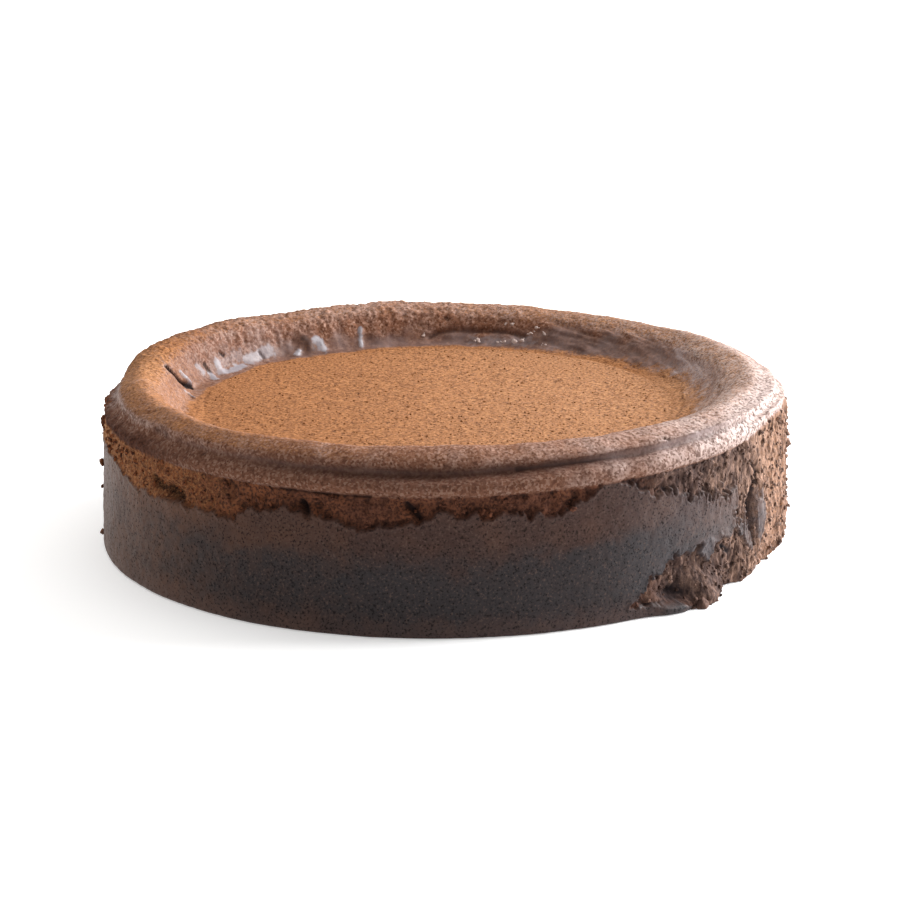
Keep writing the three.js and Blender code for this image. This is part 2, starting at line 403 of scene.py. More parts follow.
# %% [markdown]
# ## Relief of the side
#
# Skin is nearly smooth, with small pores and a thin edge that curls out a little. Torn crumb lies a little
# behind it and is built up from lumps, smaller lumps and pebbles. At the right end the whole side is torn and
# pulled upwards, so its lumps are tall and narrow. Larger swellings and hollows are the solid's own.

# %% Large forms of the side
# Angle, height, half width in degrees, half height, and how far each stands out.
SIDE_FORMS = {
    "strip of skin under the hole": (-52, 0.5, 3.6, 3, 4.6),
    "lump at the torn foot": (-45.6, 2.5, 4.2, 6.5, 6.6),
    "hollow above the lump": (-49.5, 12.5, 6.5, 6.5, -2),
    "dark hole": (-50.4, 5.6, 2.6, 2.6, -5),
    "gap beside the lump": (-37, 3, 2.6, 7, -3.4),
    "upright crack": (-30.8, 25, 1.3, 8, -1.6),
    "flap of skin": (-27.5, 21.5, 1.9, 7.5, 1.4),
    "worn foot": (-20.5, 1, 9, 7, -3.4),
    "left pit": (-139, 38, 3, 2.6, -2.2),
    "second pit": (-111, 41.5, 2.4, 2, -2),
    "front pit": (-94, 42.5, 2, 1.8, -1.8),
}
side_relief = np.zeros_like(side_height)
on_form = {}
for name, (form_angle, form_height, half_angle, half_height, rise) in SIDE_FORMS.items():
    across = turn(side_angle - form_angle) / half_angle
    up = (side_height - form_height) / half_height
    on_form[name] = np.exp(-(across**2) - up**2)
    side_relief += rise * on_form[name]

# Narrow cracks and pits that only a fine surface can hold: a line of angles and heights, half width, rise.
SIDE_MARKS = {
    "dark upright crack": ([(-29.6, 35), (-30.4, 28), (-30.7, 21), (-30.0, 14)], 0.8, -1.4),
    "slit above the crack": ([(-30.5, 40), (-28.8, 36)], 0.7, -1.5),
    "pits below the skin": ([(-39.7, 16.6), (-37.1, 12.9)], 0.8, -1.5),
    "crack under the left lip": ([(-116, 46.2), (-109, 45.9), (-101, 45.5)], 0.35, -0.8),
    "deep pits at the left": ([(-143.4, 39.6), (-141.9, 37.7)], 1.5, -2.4),
    "deep pits beside them": ([(-139.8, 36.9), (-136.8, 35.9)], 1.5, -2.4),
    "pit over the front skin": ([(-112.5, 41.8), (-110.9, 38.5)], 1.0, -1.8),
    "second pit over the skin": ([(-95.5, 43.5), (-93.6, 39.4)], 0.9, -1.6),
    "tear in the skin's foot": ([(-58, 4.5), (-53, 3.8)], 0.4, -0.8),
}


def side_place(angle, height):
    """A point in space on the plain side, in millimetres."""
    column = np.argmin(abs(turn(angles - angle)))
    row = np.argmin(abs(side_height[:, column] - height))
    return side_places[row, column]


def distance_to_line(points, corners):
    """How far each point is from a line that runs straight from corner to corner."""
    nearest = np.full(points.shape[:-1], np.inf)
    for start, end in zip(corners, corners[1:]):
        line = end - start
        share = np.clip(((points - start) @ line) / (line @ line), 0, 1)
        nearest = np.minimum(nearest, np.linalg.norm(points - start - share[..., None] * line, axis=-1))
    return nearest


cracks = np.zeros_like(side_height)
for corners, half_width, rise in SIDE_MARKS.values():
    gap = distance_to_line(side_places, [side_place(*corner) for corner in corners])
    cracks += rise * np.exp(-((gap / half_width) ** 2))
side_relief += cracks
print(len(SIDE_FORMS), "large forms and", len(SIDE_MARKS), "narrow marks on the side")

# %% Skin and crumb
CRUMB_COARSENESS = [[-180, 0.4], [-146, 0.45], [-120, 0.85], [-100, 1], [30, 1], [150, 0.7]]
pulled = window(angles, (-52, -34), (24, 40))  # 1 where the crumb is drawn upwards

coarseness = around(CRUMB_COARSENESS, angles)
round_crumb = lumps(side_places, 6.5, octaves=2) + 0.6 * pebbled(side_places, 2.1, shift=3.1)
fine_crumb = 0.25 * pebbled(side_places, 0.95, tall=1.4, shift=9.4)
fine_crumb += 0.3 * lumps(side_places, 1.5, octaves=2, tall=2, shift=5.5)
strands = 0.9 * lumps(side_places, 5, octaves=4, tall=2.8)
strands += 0.35 * lumps(side_places, 1.5, octaves=2, tall=3.5, shift=5.5)
strands += 0.3 * pebbled(side_places, 1.5, tall=1.5, shift=3.1)
strands *= 1 - 0.6 * on_form["dark hole"]
crumb_relief = mix(coarseness * round_crumb, strands, pulled) + fine_crumb

skin_relief = 0.25 * lumps(side_places, 16) + 0.12 * lumps(side_places, 2.5, octaves=2, shift=6.1)
pores = pebbles(side_places, 2.2, shift=1.7) * smooth(lumps(side_places, 5, shift=8.8), 0.1, 0.6)
skin_relief -= 0.25 * smooth(pores, 0.93, 0.99)
skin_curl = 0.35 * np.exp(-(((bare + 0.5) / 0.7) ** 2))

side_relief += mix(skin_relief + skin_curl, crumb_relief - around(TEAR_DEPTH, angles), torn)
print("the side's relief runs from", side_relief.min().round(1), "to", side_relief.max().round(1), "mm")

# %% [markdown]
# ## Relief of the crust
#
# The puffed rim is dry and granular with broad swellings, the groove under it is smooth, and the wall down to
# the floor is glazed and folded. Each fold, slit and patch of the wall has its own place, given as an angle
# and a station of the section, so it stays where it is whatever size the cake has.

# %% Rim, lip and groove
SWELLING = 17
SWELLING_RELIEF = 0.45
# The station where the coarse crust ends, and how much of the lip is torn.
COARSE_ENDS = [[55, 8], [75, 8.9], [108, 9.1], [116, 8.8], [130, 9.0], [150, 9.3], [165, 8.8], [178, 8]]
LIP_TORN = [[-180, 1], [-150, 1], [-128, 0], [168, 0]]

crust_places = places[crust]
crust_angle = angle_grid[crust]
station = np.broadcast_to(row_place[crust][:, None], crust_angle.shape)
groove_cut = around(GROOVE_DEPTH, angles)
in_groove = np.exp(-(((station - 3.5) / 0.9) ** 2)) * smooth(groove_cut, 0.6, 2.5)
on_wall = smooth(station, 7.6, 8.6)
# At the left the tear runs on over the lip, without an edge.
torn_station = station + 0.7 * lumps(crust_places, 5, octaves=3, shift=7.7)
lip_torn = around(LIP_TORN, angles) * (1 - smooth(torn_station, 0.8, 3.0))
coarse = window(angles, (60, 95), (168, 180)) * smooth(station, 4.5, 5.6)
coarse_end = around(COARSE_ENDS, angles)
coarse_station = station + 0.5 * lumps(crust_places, 4, octaves=3, shift=5.2)
coarse *= 1 - smooth(coarse_station, coarse_end - 0.4, coarse_end + 0.4)

granules = pebbled(crust_places, 1.3, shift=2.3)
broken = lumps(crust_places, 2.0, octaves=2, shift=4.9)
crust_relief = SWELLING_RELIEF * lumps(crust_places, SWELLING)
crust_relief += 0.2 * lumps(crust_places, 6, octaves=2, shift=3.3)
crust_relief += (1 - in_groove) * (1 - on_wall) * (0.12 * granules + 0.07 * broken)
crust_relief += lip_torn * (0.5 * lumps(crust_places, 3.5, octaves=3, tall=1.5) + 0.3 * granules)
crust_relief += coarse * (0.35 * pebbled(crust_places, 2.3, tall=1.4, shift=5.1) + 0.25 * broken)
print("crust relief", crust_relief.min().round(2), crust_relief.max().round(2))

# %% Folds and slits of the wall
# Each mark is a line through angles and stations, then its half width and how far it stands out.
WALL_MARKS = {
    "slit": ([(173.4, 8.1), (171.8, 8.8), (169.2, 9.4)], 0.9, -2.6),
    "slit's lower end": ([(169.2, 9.4), (165.8, 9.8)], 0.8, -2.0),
    "edge of the slit": ([(168.8, 8.7), (167.2, 9.25), (165.6, 9.65)], 0.9, 0.8),
    "wide fold": ([(164.5, 8.9), (160.5, 9.8)], 2.0, 0.8),
    "drip below the slit": ([(171.7, 9.6), (170.8, 9.9), (171.9, 10.4)], 0.6, 0.6),
    "patch before the wedge": ([(157.4, 9.1), (156.4, 9.5)], 1.6, 0.3),
    "wedge": ([(154.4, 9.2), (153.6, 9.7)], 1.0, -1.0),
    "white drip": ([(153.8, 9.9), (154.2, 10.2), (154.8, 10.4)], 1.5, 0.5),
    "sheet of glaze": ([(149.8, 9.4), (149.6, 9.8), (150.4, 10.1)], 2.0, 0.5),
    "nick": ([(147.3, 8.9), (146.7, 9.1)], 0.5, -1.0),
    "low sheet": ([(149.5, 10.25), (146, 10.35), (142.5, 10.25)], 1.9, 0.4),
    "blotches of glaze": ([(147, 9.5), (142, 9.3)], 2.4, 0.2),
    "large patch": ([(140, 9.9), (136.5, 9.6), (133.2, 9.45)], 2.6, 0.5),
    "slit in the patch": ([(135.9, 9.4), (135.3, 9.9)], 0.35, -0.9),
    "first glint": ([(126.7, 10.1), (125.6, 9.8)], 1.2, 0.6),
    "lobe": ([(123.4, 9.1), (122.4, 9.9)], 2.8, 0.9),
    "lobe's bright end": ([(120.7, 9.15), (119.6, 9.4), (119.4, 9.9)], 1.7, 0.5),
    "upright streak": ([(109.2, 8.8), (109.9, 10.0)], 0.9, 0.5),
    "froth": ([(82, 9.7), (75, 9.8), (69, 9.5)], 2.0, 0.2),
    "hollow under the overhang": ([(93, 9.5), (91, 9.2), (88, 9.05), (77, 8.95), (73, 9.1), (70.5, 9.3)],
                                  1.2, -1.0),
    "dark fold at the right back": ([(66, 7.95), (60, 8.3), (54, 8.7)], 1.6, -0.5),
    "hollow at the back": ([(108, 9.4), (98, 9.5)], 2.2, -0.4),
}
# Pits and small cracks of the rim, lip and groove, as lines like the marks of the wall.
RIM_MARKS = {
    "pit": ([(-131.5, 5.1), (-131.2, 5.3)], 0.7, -0.9),
    "pit on the lip": ([(-132.2, 2.5), (-131.8, 2.7)], 0.7, -0.8),
    "crease at the left": ([(-155.2, 5.1), (-152, 5.9), (-150, 6.7)], 1.0, -0.5),
    "soft hollow at the left": ([(-146, 3.7), (-143, 3.9)], 2.2, -0.9),
    "pit at the back": ([(148.5, 8), (148.2, 8.15)], 0.8, -0.7),
    "second pit at the back": ([(139, 8.5), (138.7, 8.7)], 0.7, -0.6),
    "crack across the groove": ([(-51.8, 5.4), (-50.8, 4.8)], 0.4, -0.8),
    "second crack across": ([(-44.8, 5.3), (-43.8, 4.7)], 0.35, -0.7),
    "nick at the front": ([(-89.7, 5.05), (-89.3, 4.9)], 0.6, -0.7),
    "shallow end of the groove": ([(-78, 3.2), (-66, 2.9), (-57, 2.8), (-50, 2.8), (-42, 2.6), (-31, 2.6)],
                                  0.8, -0.4),
}


def mark_on_crust(corners, half_width):
    gap = distance_to_line(crust_places, [crust_place(*corner) for corner in corners])
    return np.exp(-((gap / half_width) ** 2))


wall_relief = np.zeros_like(crust_relief)
marks = {}
for name, (corners, half_width, rise) in {**WALL_MARKS, **RIM_MARKS}.items():
    marks[name] = mark_on_crust(corners, half_width)
    wall_relief += rise * marks[name]
print(len(marks), "marks on the crust")

# %% Wrinkles of the right wall
# The wall's skin is drawn into slanting wrinkles at the right, so their noise is read along a slant of angle
# and station: the first pair of shares is for across a wrinkle, the second for along it.
WRINKLE = 5.2
ACROSS, ALONG = (0.55, 9), (0.35, -2.6)

across, along = (turned * crust_angle + raised * station for turned, raised in (ACROSS, ALONG))
slanted = np.stack([across, along, 0 * station], -1)
wrinkles = lumps(slanted, WRINKLE, octaves=3)
wrinkled = window(angles, (-28, -8), (50, 75)) * window(station, (7.2, 8.2), (10.2, 10.9))
wall_relief += wrinkled * 0.5 * wrinkles
gentle_folds = lumps(crust_places, 5, octaves=2, tall=1.8, shift=8.1)
wall_relief += on_wall * (1 - wrinkled) * 0.25 * gentle_folds * (1 - smooth(station, 10, 11))
crust_relief += wall_relief
print("wall relief", wall_relief.min().round(2), wall_relief.max().round(2))

# %% [markdown]
# ## Relief of the cocoa
#
# Sifted cocoa lies in a thin, clotted layer. Its grain is a fraction of a millimetre, which is left to the
# material, but its clots are as wide as a lentil and catch the light, so they are relief.

# %% Cocoa on the floor
floor_places = places[floor]
floor_relief = 0.35 * lumps(floor_places, 40) + 0.1 * lumps(floor_places, 9, octaves=2)
clots = lumps(floor_places, 2.4, octaves=4, shift=6.6)
floor_relief += 0.08 * clots + 0.07 * pebbled(floor_places, 1.5, shift=2.2)
floor_relief *= smooth(radii[floor], 1, 8)  # level at the very middle
print("cocoa relief", floor_relief.min().round(2), floor_relief.max().round(2))

# %% [markdown]
# ## The fine surface
#
# Every point now moves along its outward direction by its relief. What lies lower than its surroundings is
# remembered as "hollow", because pits in crumb look darker than the light alone makes them.
# The material paints shade into these hollows, darker the deeper they lie.

# %% Move the points
HOLLOW_REACH = 5  # points on each side that count as a point's surroundings

relief = np.zeros(radii.shape)
relief[side], relief[crust], relief[floor] = side_relief, crust_relief, floor_relief


def blurred(values, reach):
    """The average over a square of neighbours; columns wrap round and rows stop at the ends."""
    for axis, mode in ((0, "edge"), (1, "wrap")):
        pad = [(0, 0), (0, 0)]
        pad[axis] = (reach + 1, reach)
        total = np.cumsum(np.pad(values, pad, mode=mode), axis=axis)
        count = 2 * reach + 1
        upper = np.take(total, range(count, total.shape[axis]), axis=axis)
        lower = np.take(total, range(total.shape[axis] - count), axis=axis)
        values = (upper - lower) / count
    return values


surface = places + outwards * relief[..., None]
# The foot follows the lowest row of the side, so a worn foot has no shelf under it.
lowest_side = np.where(bands == "side")[0][0]
foot_scale = 1 + blurred(relief, 1)[lowest_side] / CAKE_RADIUS
for row in range(lowest_side):
    at_edge = radii[row] / CAKE_RADIUS
    surface[row, :, :2] = places[row, :, :2] * mix(1, foot_scale, at_edge)[:, None]
    surface[row, :, 2] = places[row, :, 2]
surface[..., 2] = np.maximum(surface[..., 2], 0)
# How far each point lies below its surroundings, for the painted shade in pits.
hollow = blurred(relief, HOLLOW_REACH) - relief
final_outwards = outward(surface)
print("surface reaches", np.abs(surface).reshape(-1, 3).max(0).round(1), "mm")

# %% [markdown]
# ## Masks for the finishes
#
# Each finish has a mask on the mesh: skin, crust, glaze, wet glaze and cocoa. Bare crumb is what no mask
# covers. Glaze lies on the wall and in the groove, and it is wet only in its drips and patches, whose places
# are the marks from above.
# Wet glaze also carries a painted highlight in its colour.

# %% Skin, crust and glaze
GLAZE_START = [[-180, 7.7], [60, 7.7], [76, 8.6], [118, 8.8], [135, 7.9]]  # station
GLAZE_ON_WALL = [[-180, 0.2], [-160, 0.1], [-90, 0.2], [-45, 0.15], [-12, 0.3], [12, 0.55], [38, 0.9],
                 [60, 1], [126, 1], [138, 0.4], [168, 0.4], [174, 0.3]]
GLAZE_RUN = 1.2  # stations over which the glaze sets in
GLAZE_IN_GROOVE = 0.75


def full(part_rows, values):
    """A mask over the whole grid from the values of some of its rows."""
    mask = np.zeros(radii.shape)
    mask[part_rows] = values
    return mask


lip_edge = lip_height - 0.6 + 0.8 * lumps(ring, 3.2, octaves=3, shift=9.9)
skin_mask = full(side, (1 - torn) * (1 - smooth(side_height, lip_edge - 0.2, lip_edge + 0.3)))
skin_mask[bands == "base"] = 1
crust_mask = full(side, smooth(side_height, lip_edge - 0.2, lip_edge + 0.4))
crust_mask[crust] = 1 - lip_torn
crust_mask[floor] = 1

in_slit = smooth(marks["slit"] + marks["slit's lower end"], 0.03, 0.25)
glaze_start = around(GLAZE_START, angles)
glaze_station = station + 0.5 * lumps(crust_places, 6, octaves=3)
glaze_share = around(GLAZE_ON_WALL, angles) * smooth(glaze_station, glaze_start, glaze_start + GLAZE_RUN)
glaze = full(crust, np.maximum(glaze_share * (1 - in_slit), GLAZE_IN_GROOVE * in_groove))
print("skin on", round(100 * (skin_mask[side] > 0.5).mean()), "% of the side")

# %% Wet glaze and its painted highlight
# How wet each mark looks, which also sets how strong its painted highlight is; which marks have a ragged
# edge; and how much shine the scraps of skin have, as gloss and as painted sheen.
WET_AND_HIGHLIGHT_MARKS = {"edge of the slit": 0.8, "drip below the slit": 0.8, "patch before the wedge": 0.5,
             "white drip": 1, "sheet of glaze": 0.7, "low sheet": 1, "blotches of glaze": 0.2,
             "large patch": 0.62, "first glint": 1, "lobe's bright end": 1, "upright streak": 1,
             "froth": 0.25}
RAGGED_MARKS = {"blotches of glaze": 2.2, "froth": 2.2}
SHINING_SCRAPS = {"scrap over the hollow": 0.15, "flap": 0.1}

ragged_edge = 0.3 * lumps(crust_places, 1.8, octaves=3, shift=3.7)
wet_and_highlight = np.zeros_like(station)
for name, amount in WET_AND_HIGHLIGHT_MARKS.items():
    inside = smooth(marks[name] + RAGGED_MARKS.get(name, 1) * ragged_edge, 0.2, 0.7)
    wet_and_highlight = np.maximum(wet_and_highlight, amount * inside * (marks[name] > 0.05))
wet_and_highlight_mask = full(crust, wet_and_highlight * (1 - in_slit))
glaze = np.maximum(glaze, wet_and_highlight_mask)
# The scraps of skin take a little gloss and a painted sheen from the same mask.
for name, amount in SHINING_SCRAPS.items():
    on_scrap = (1 - torn) * np.exp(-(from_middle(*SKIN_SCRAPS[name]) ** 2))
    wet_and_highlight_mask[side] = np.maximum(wet_and_highlight_mask[side], amount * on_scrap)
print("wet glaze on", int((wet_and_highlight_mask > 0.5).sum()), "points")

# %% [markdown]
# ## Where cocoa lies
#
# Sifted cocoa settles where the surface faces up, so its mask follows the slope: thick on the floor, thin
# over the rim and almost none on the walls. The thick layer ends near the wall's foot in a patchy edge.

# %% Cocoa mask
# Shares of cocoa, then stations: where the rim's dust sets in, where the thick layer ends, how far it fades.
DUST_ON_RIM = [[-180, 1.0], [-165, 0.75], [-145, 0.6], [-90, 0.15], [-50, 0.15], [-15, 0.4], [10, 0.5],
               [60, 0.5], [100, 0.3], [140, 0.35]]
DUST_ON_WALL = [[-180, 0.45], [-120, 0.6], [-60, 0.6], [-20, 0.45], [5, 0.35], [40, 0.15], [150, 0.12],
                [172, 0.3]]
DUST_ON_CRUMB = [[-180, 0.8], [-168, 0.9], [-160, 0.5], [-140, 0.35], [-115, 0.05], [-40, 0], [-20, 0.25],
                 [10, 0.1], [60, 0]]
DUST_START = [[-170, 2], [-125, 2], [-95, 4.2], [-60, 4.2], [-15, 5.8], [35, 5.8], [80, 4.2]]
COCOA_EDGE = [[-180, 10.0], [-90, 9.2], [-40, 9.3], [-10, 9.2], [15, 9.3], [40, 10.0], [60, 10.3],
              [100, 10.5], [136, 10.6], [147, 11.1], [156, 11], [168, 10.6]]
COCOA_FADE = [[-180, 0.8], [-60, 0.9], [-15, 1.7], [15, 1.7], [60, 1.3], [85, 0.5], [165, 0.35]]
DUST_RUN = 1.8  # stations over which the rim's dust sets in

patchy = lumps(crust_places, 5, octaves=4, shift=1.2)
upward = blurred(final_outwards[..., 2], 2)[crust]  # 1 where the crust faces straight up
dust_start = around(DUST_START, angles)
rim_dust = around(DUST_ON_RIM, angles) * smooth(station, dust_start, dust_start + DUST_RUN)
rim_dust *= smooth(upward, 0.3, 0.9)
dust = mix(rim_dust, around(DUST_ON_WALL, angles), on_wall) * (1 + 0.2 * patchy) * (1 - in_slit)
from_edge = (station - around(COCOA_EDGE, angles)) / around(COCOA_FADE, angles) + 0.25 * patchy
cocoa = full(crust, np.clip(np.maximum(dust, smooth(from_edge, -0.5, 0.6)), 0, 1))
cocoa[floor] = 1
cocoa[side] = around(DUST_ON_CRUMB, angles) * torn
print("cocoa covers", round(100 * (cocoa[crust] > 0.5).mean()), "% of the crust")

# %% [markdown]
# ## Shades within a finish
#
# No finish has one colour all round the cake, and some of the change is painted light and shade. Four more
# masks say where. "Baked" is the dark band half way up the side, where the tin was hottest, with painted shade
# on the upturned strip of skin under the hole. "Dry" is the greyer crumb of the torn right end and the greyer
# foot. "Pale" is where crumb, crust, glaze or cocoa is lighter, partly in its own tone and partly as painted
# light and sheen. "Dark" is painted shade that stays in cracks, slits, the hole and the groove, under the
# overhang at the back and over the lip and the back of the rim, however the light falls.

# %% Where the side is baked, painted darker or dry
DARK_BAKED = [[-180, 0.2], [-150, 0.35], [-118, 0.75], [-90, 1], [-58, 0.9], [-42, 0.5], [0, 0.2],
              [60, 0.8], [120, 1], [160, 0.5]]

zone_height = side_height + 5 * lumps(side_places, 26, octaves=4, tall=0.6)
dark_zone = smooth(side_height, -1, 11) * (1 - smooth(zone_height, 19, 34))
on_strip = on_form["strip of skin under the hole"]
# The upturned strip of skin under the hole gets painted shade as well as the baked band.
baked_and_shaded = full(side, np.clip(around(DARK_BAKED, angles) * dark_zone + 0.7 * on_strip, 0, 1))
dry_end = window(angles, (-66, -50), (-6, 20)) * (1 - 0.8 * on_strip)
# The skin grows greyer towards the foot.
greyer_foot = (1 - torn) * (1 - smooth(side_height, 0, 9))
dry = full(side, np.maximum(dry_end, greyer_foot))
print("baked dark on", round(100 * (baked_and_shaded[side] > 0.5).mean()), "% of the side")

# %% Where a finish is pale or painted lighter
# Lighter skin and crumb: at the left and at the torn right end this is partly painted light and sheen.
PALE_SIDE = [[-180, 1], [-165, 1], [-145, 0.75], [-122, 0.3], [-90, 0], [-58, 0.05], [-44, 0.1],
             [-33, 0.35], [-27, 0.95], [-12, 0.8], [-2, 0.35], [10, 0.1], [60, 0.2], [120, 0.2]]
# Lighter crust: a painted sheen where the window grazes the right of the rim and lip, painted light at the far
# left.
PALE_RIM = [[-180, 0.7], [-160, 0.3], [-120, 0.0], [-80, 0.05], [-58, 0.3], [-42, 0.7], [-25, 0.95],
            [20, 0.9], [45, 0.6], [75, 0.3], [110, 0.35], [135, 0.2], [160, 0.1]]
PALE_WALL = [[-40, 0.3], [-15, 0.85], [15, 0.85], [36, 0.1], [160, 0.1]]  # as a share of the rim's paleness

pale_side = around(PALE_SIDE, angles) + 0.2 * lumps(side_places, 14, octaves=3, shift=5.8)
# The flap is kept out of the pale tone, and its grey-blue is partly painted sheen.
pale_side -= 0.7 * np.exp(-(from_middle(*SKIN_SCRAPS["flap"]) ** 2))  # the flap's skin is blue-grey
# Painted sheen on the ridges of the right wall's wrinkles.
on_ridges = wrinkled * smooth(wrinkles, 0.05, 0.4) * (1 - smooth(angles, 22, 33))
far_side = window(angles, (-8, 15), (60, 90)) * (1 - smooth(station, 5, 7))
left_lip = window(angles, (-178, -165), (-108, -90)) * (1 - smooth(station, 2.8, 4.4))
pale_crust = around(PALE_RIM, angles) * mix(1, around(PALE_WALL, angles), on_wall) + on_ridges
pale_crust *= 1 - 0.6 * far_side - left_lip
pale_crust += 0.15 * lumps(crust_places, 9, octaves=3, shift=5.8) * (1 - left_lip)
pale_and_lit = full(side, np.clip(pale_side, 0, 1))
pale_and_lit[crust] = np.clip(pale_crust, 0, 1)
# Painted light on the cocoa: lighter and cooler towards the window at the right.
pale_and_lit[floor] = smooth(places[floor][..., 0], -70, 90)
print("pale on", round(100 * (pale_and_lit[crust] > 0.5).mean()), "% of the crust")

# %% Where shade is painted
# Painted shade: over the lip at the front and back, over the back of the rim at the left, and in marks.
PAINTED_LIP_SHADE = [[-180, 0.1], [-120, 0.3], [-90, 0.45], [-66, 0.3], [-50, 0.05], [0, 0], [60, 0.4], [150, 0.4]]
PAINTED_BACK_SHADE = [[-180, 0.05], [-165, 0], [108, 0], [130, 0.2], [160, 0.28]]
PAINTED_SHADE_MARKS = {"lobe": 0.8, "hollow under the overhang": 0.75, "shallow end of the groove": 0.5}
CRACK_SHADE = (-29.5, 24.5, 2.3, 9)  # the shaded flank of the upright crack, as an oval like the scraps
BLACK_CRACK = 1.1  # the depth at which a crack is fully dark

dark_crust = around(PAINTED_LIP_SHADE, angles) * (1 - smooth(station, 2.4, 4.6))
dark_crust += around(PAINTED_BACK_SHADE, angles) * smooth(station, 5, 7)
# Painted shade in the groove, where it is cut deep.
dark_crust += 0.5 * np.exp(-(((station - 4.2) / 1.1) ** 2)) * smooth(groove_cut, 0.8, 3)
# Painted shade, near black, in the slit, and shade in the wedge and the nick.
dark_crust += in_slit + smooth(marks["wedge"] + marks["nick"], 0.05, 0.4)
for name, amount in PAINTED_SHADE_MARKS.items():
    dark_crust += amount * marks[name]
# Painted shade in the side's cracks and the dark hole, and on the upright crack's shaded flank.
dark_side = np.clip(-cracks / BLACK_CRACK, 0, 1) + 0.75 * on_form["dark hole"]
dark_side += 0.5 * np.exp(-(from_middle(*CRACK_SHADE) ** 4))
dark = full(crust, np.clip(dark_crust, 0, 1))
dark[side] = np.clip(mix(dark_side, around(PAINTED_LIP_SHADE, angles), crust_mask[side]), 0, 1)
print("dark on", int((dark > 0.5).sum()), "points")

# %% [markdown]
# ## From grid to mesh
#
# Near the axis the columns crowd together, so every few rows the floor keeps only every second column. Two
# rows with different numbers of points are joined with three triangles in place of two quads.

# %% Which points are kept
CLOSEST_COLUMNS = 0.22  # millimetres between columns before every second one is dropped
COARSEST_STEP = 64

steps = []
for row, band in enumerate(bands):
    gap = 2 * math.pi * radii[row].mean() / COLUMNS
    wanted = 1
    while gap * wanted < CLOSEST_COLUMNS and wanted < COARSEST_STEP:
        wanted *= 2
    if band == "floor":
        wanted = min(wanted, 2 * steps[-1])
    steps.append(wanted if band == "floor" else 1)
first_of_row = np.concatenate([[0], np.cumsum([COLUMNS // step for step in steps])])
step_of_row = np.array(steps)
kept_row = np.concatenate([np.full(COLUMNS // step, row) for row, step in enumerate(steps)])
kept_column = np.concatenate([np.arange(0, COLUMNS, step) for step in steps])
print("columns on the floor:", sorted({COLUMNS // step for step in steps}, reverse=True))


# %% Faces between the rows
loops, sizes_of_faces, loop_rows, loop_columns = [], [], [], []


def point_number(row, column):
    """The number of a kept point; columns past the last one wrap round to the first."""
    return first_of_row[row] + (column % COLUMNS) // step_of_row[row]


def faces_between(row):
    """Corners of the faces from one row to the next, each as rows and columns, columns not yet wrapped."""
    fine, wide = steps[row], steps[row + 1]
    start = np.arange(0, COLUMNS, wide)
    here, above = row + 0 * start, row + 1 + 0 * start
    if fine == wide:
        return [[(here, start), (here, start + fine), (above, start + fine), (above, start)]]
    middle = start + fine
    return [
        [(here, start), (here, middle), (above, start)],
        [(here, middle), (above, start + wide), (above, start)],
        [(here, middle), (here, start + wide), (above, start + wide)],
    ]


def add_faces(numbers, face_rows, face_columns):
    """Adds one face for each line of point numbers, and keeps where on the grid its corners are."""
    loops.append(numbers.ravel())
    loop_rows.append(face_rows.ravel())
    loop_columns.append(face_columns.ravel())
    sizes_of_faces.append(np.full(len(numbers), numbers.shape[1]))


for row in range(len(rows) - 1):
    for corners in faces_between(row):
        face_rows, face_columns = (np.stack(part, 1) for part in zip(*corners))
        add_faces(point_number(face_rows, face_columns), face_rows, face_columns)
print(sum(len(sizes) for sizes in sizes_of_faces), "faces before the two middles")

# %% Close the middles
BASE_MIDDLE, FLOOR_MIDDLE = -1, -2  # rows of the two middles, which aren't on the grid

middles = ((0, BASE_MIDDLE, True), (len(rows) - 1, FLOOR_MIDDLE, False))
for number, (row, middle_row, flipped) in enumerate(middles, start=len(kept_row)):
    start = np.arange(0, COLUMNS, steps[row])
    first, second = (start + steps[row], start) if flipped else (start, start + steps[row])
    middle = 0 * start + number
    numbers = np.stack([point_number(row, first), point_number(row, second), middle], 1)
    face_rows = np.stack([0 * start + row, 0 * start + row, 0 * start + middle_row], 1)
    add_faces(numbers, face_rows, np.stack([first, second, start], 1))
all_loops = np.concatenate(loops)
face_sizes = np.concatenate(sizes_of_faces)
face_starts = np.concatenate([[0], np.cumsum(face_sizes)[:-1]])
vertices = np.concatenate([surface[kept_row, kept_column], [[0, 0, 0], [0, 0, surface[-1, :, 2].mean()]]])
print(len(vertices), "vertices,", len(face_sizes), "faces")

# %% Build the mesh
cake_mesh = bpy.data.meshes.new("cake_surface")
cake_mesh.vertices.add(len(vertices))
cake_mesh.vertices.foreach_set("co", (vertices * MM).ravel())
cake_mesh.loops.add(len(all_loops))
cake_mesh.loops.foreach_set("vertex_index", all_loops)
cake_mesh.polygons.add(len(face_sizes))
cake_mesh.polygons.foreach_set("loop_start", face_starts)
cake_mesh.polygons.foreach_set("loop_total", face_sizes)
cake_mesh.polygons.foreach_set("use_smooth", np.ones(len(face_sizes), bool))
cake_mesh.update(calc_edges=True)
print("mesh is sound:", not cake_mesh.validate(verbose=False))


def store_mask(name, grid, ends):
    """Keeps one number per point on the mesh, for the material to read by name."""
    values = np.concatenate([grid[kept_row, kept_column], ends])
    cake_mesh.attributes.new(name, "FLOAT", "POINT").data.foreach_set("value", values)


MASKS = {"skin": skin_mask, "crust": crust_mask, "glaze": glaze, "wet_and_highlight": wet_and_highlight_mask, "cocoa": cocoa,
         "hollow": hollow, "baked_and_shaded": baked_and_shaded, "pale_and_lit": pale_and_lit, "dry": dry, "dark": dark}
MASK_ENDS = {"skin": (1, 0), "crust": (0, 1), "cocoa": (0, 1)}  # at the middles of the base and the floor
for name, mask in MASKS.items():
    store_mask(name, mask, MASK_ENDS.get(name, (0, 0)))
print("masks on the mesh:", ", ".join(MASKS))

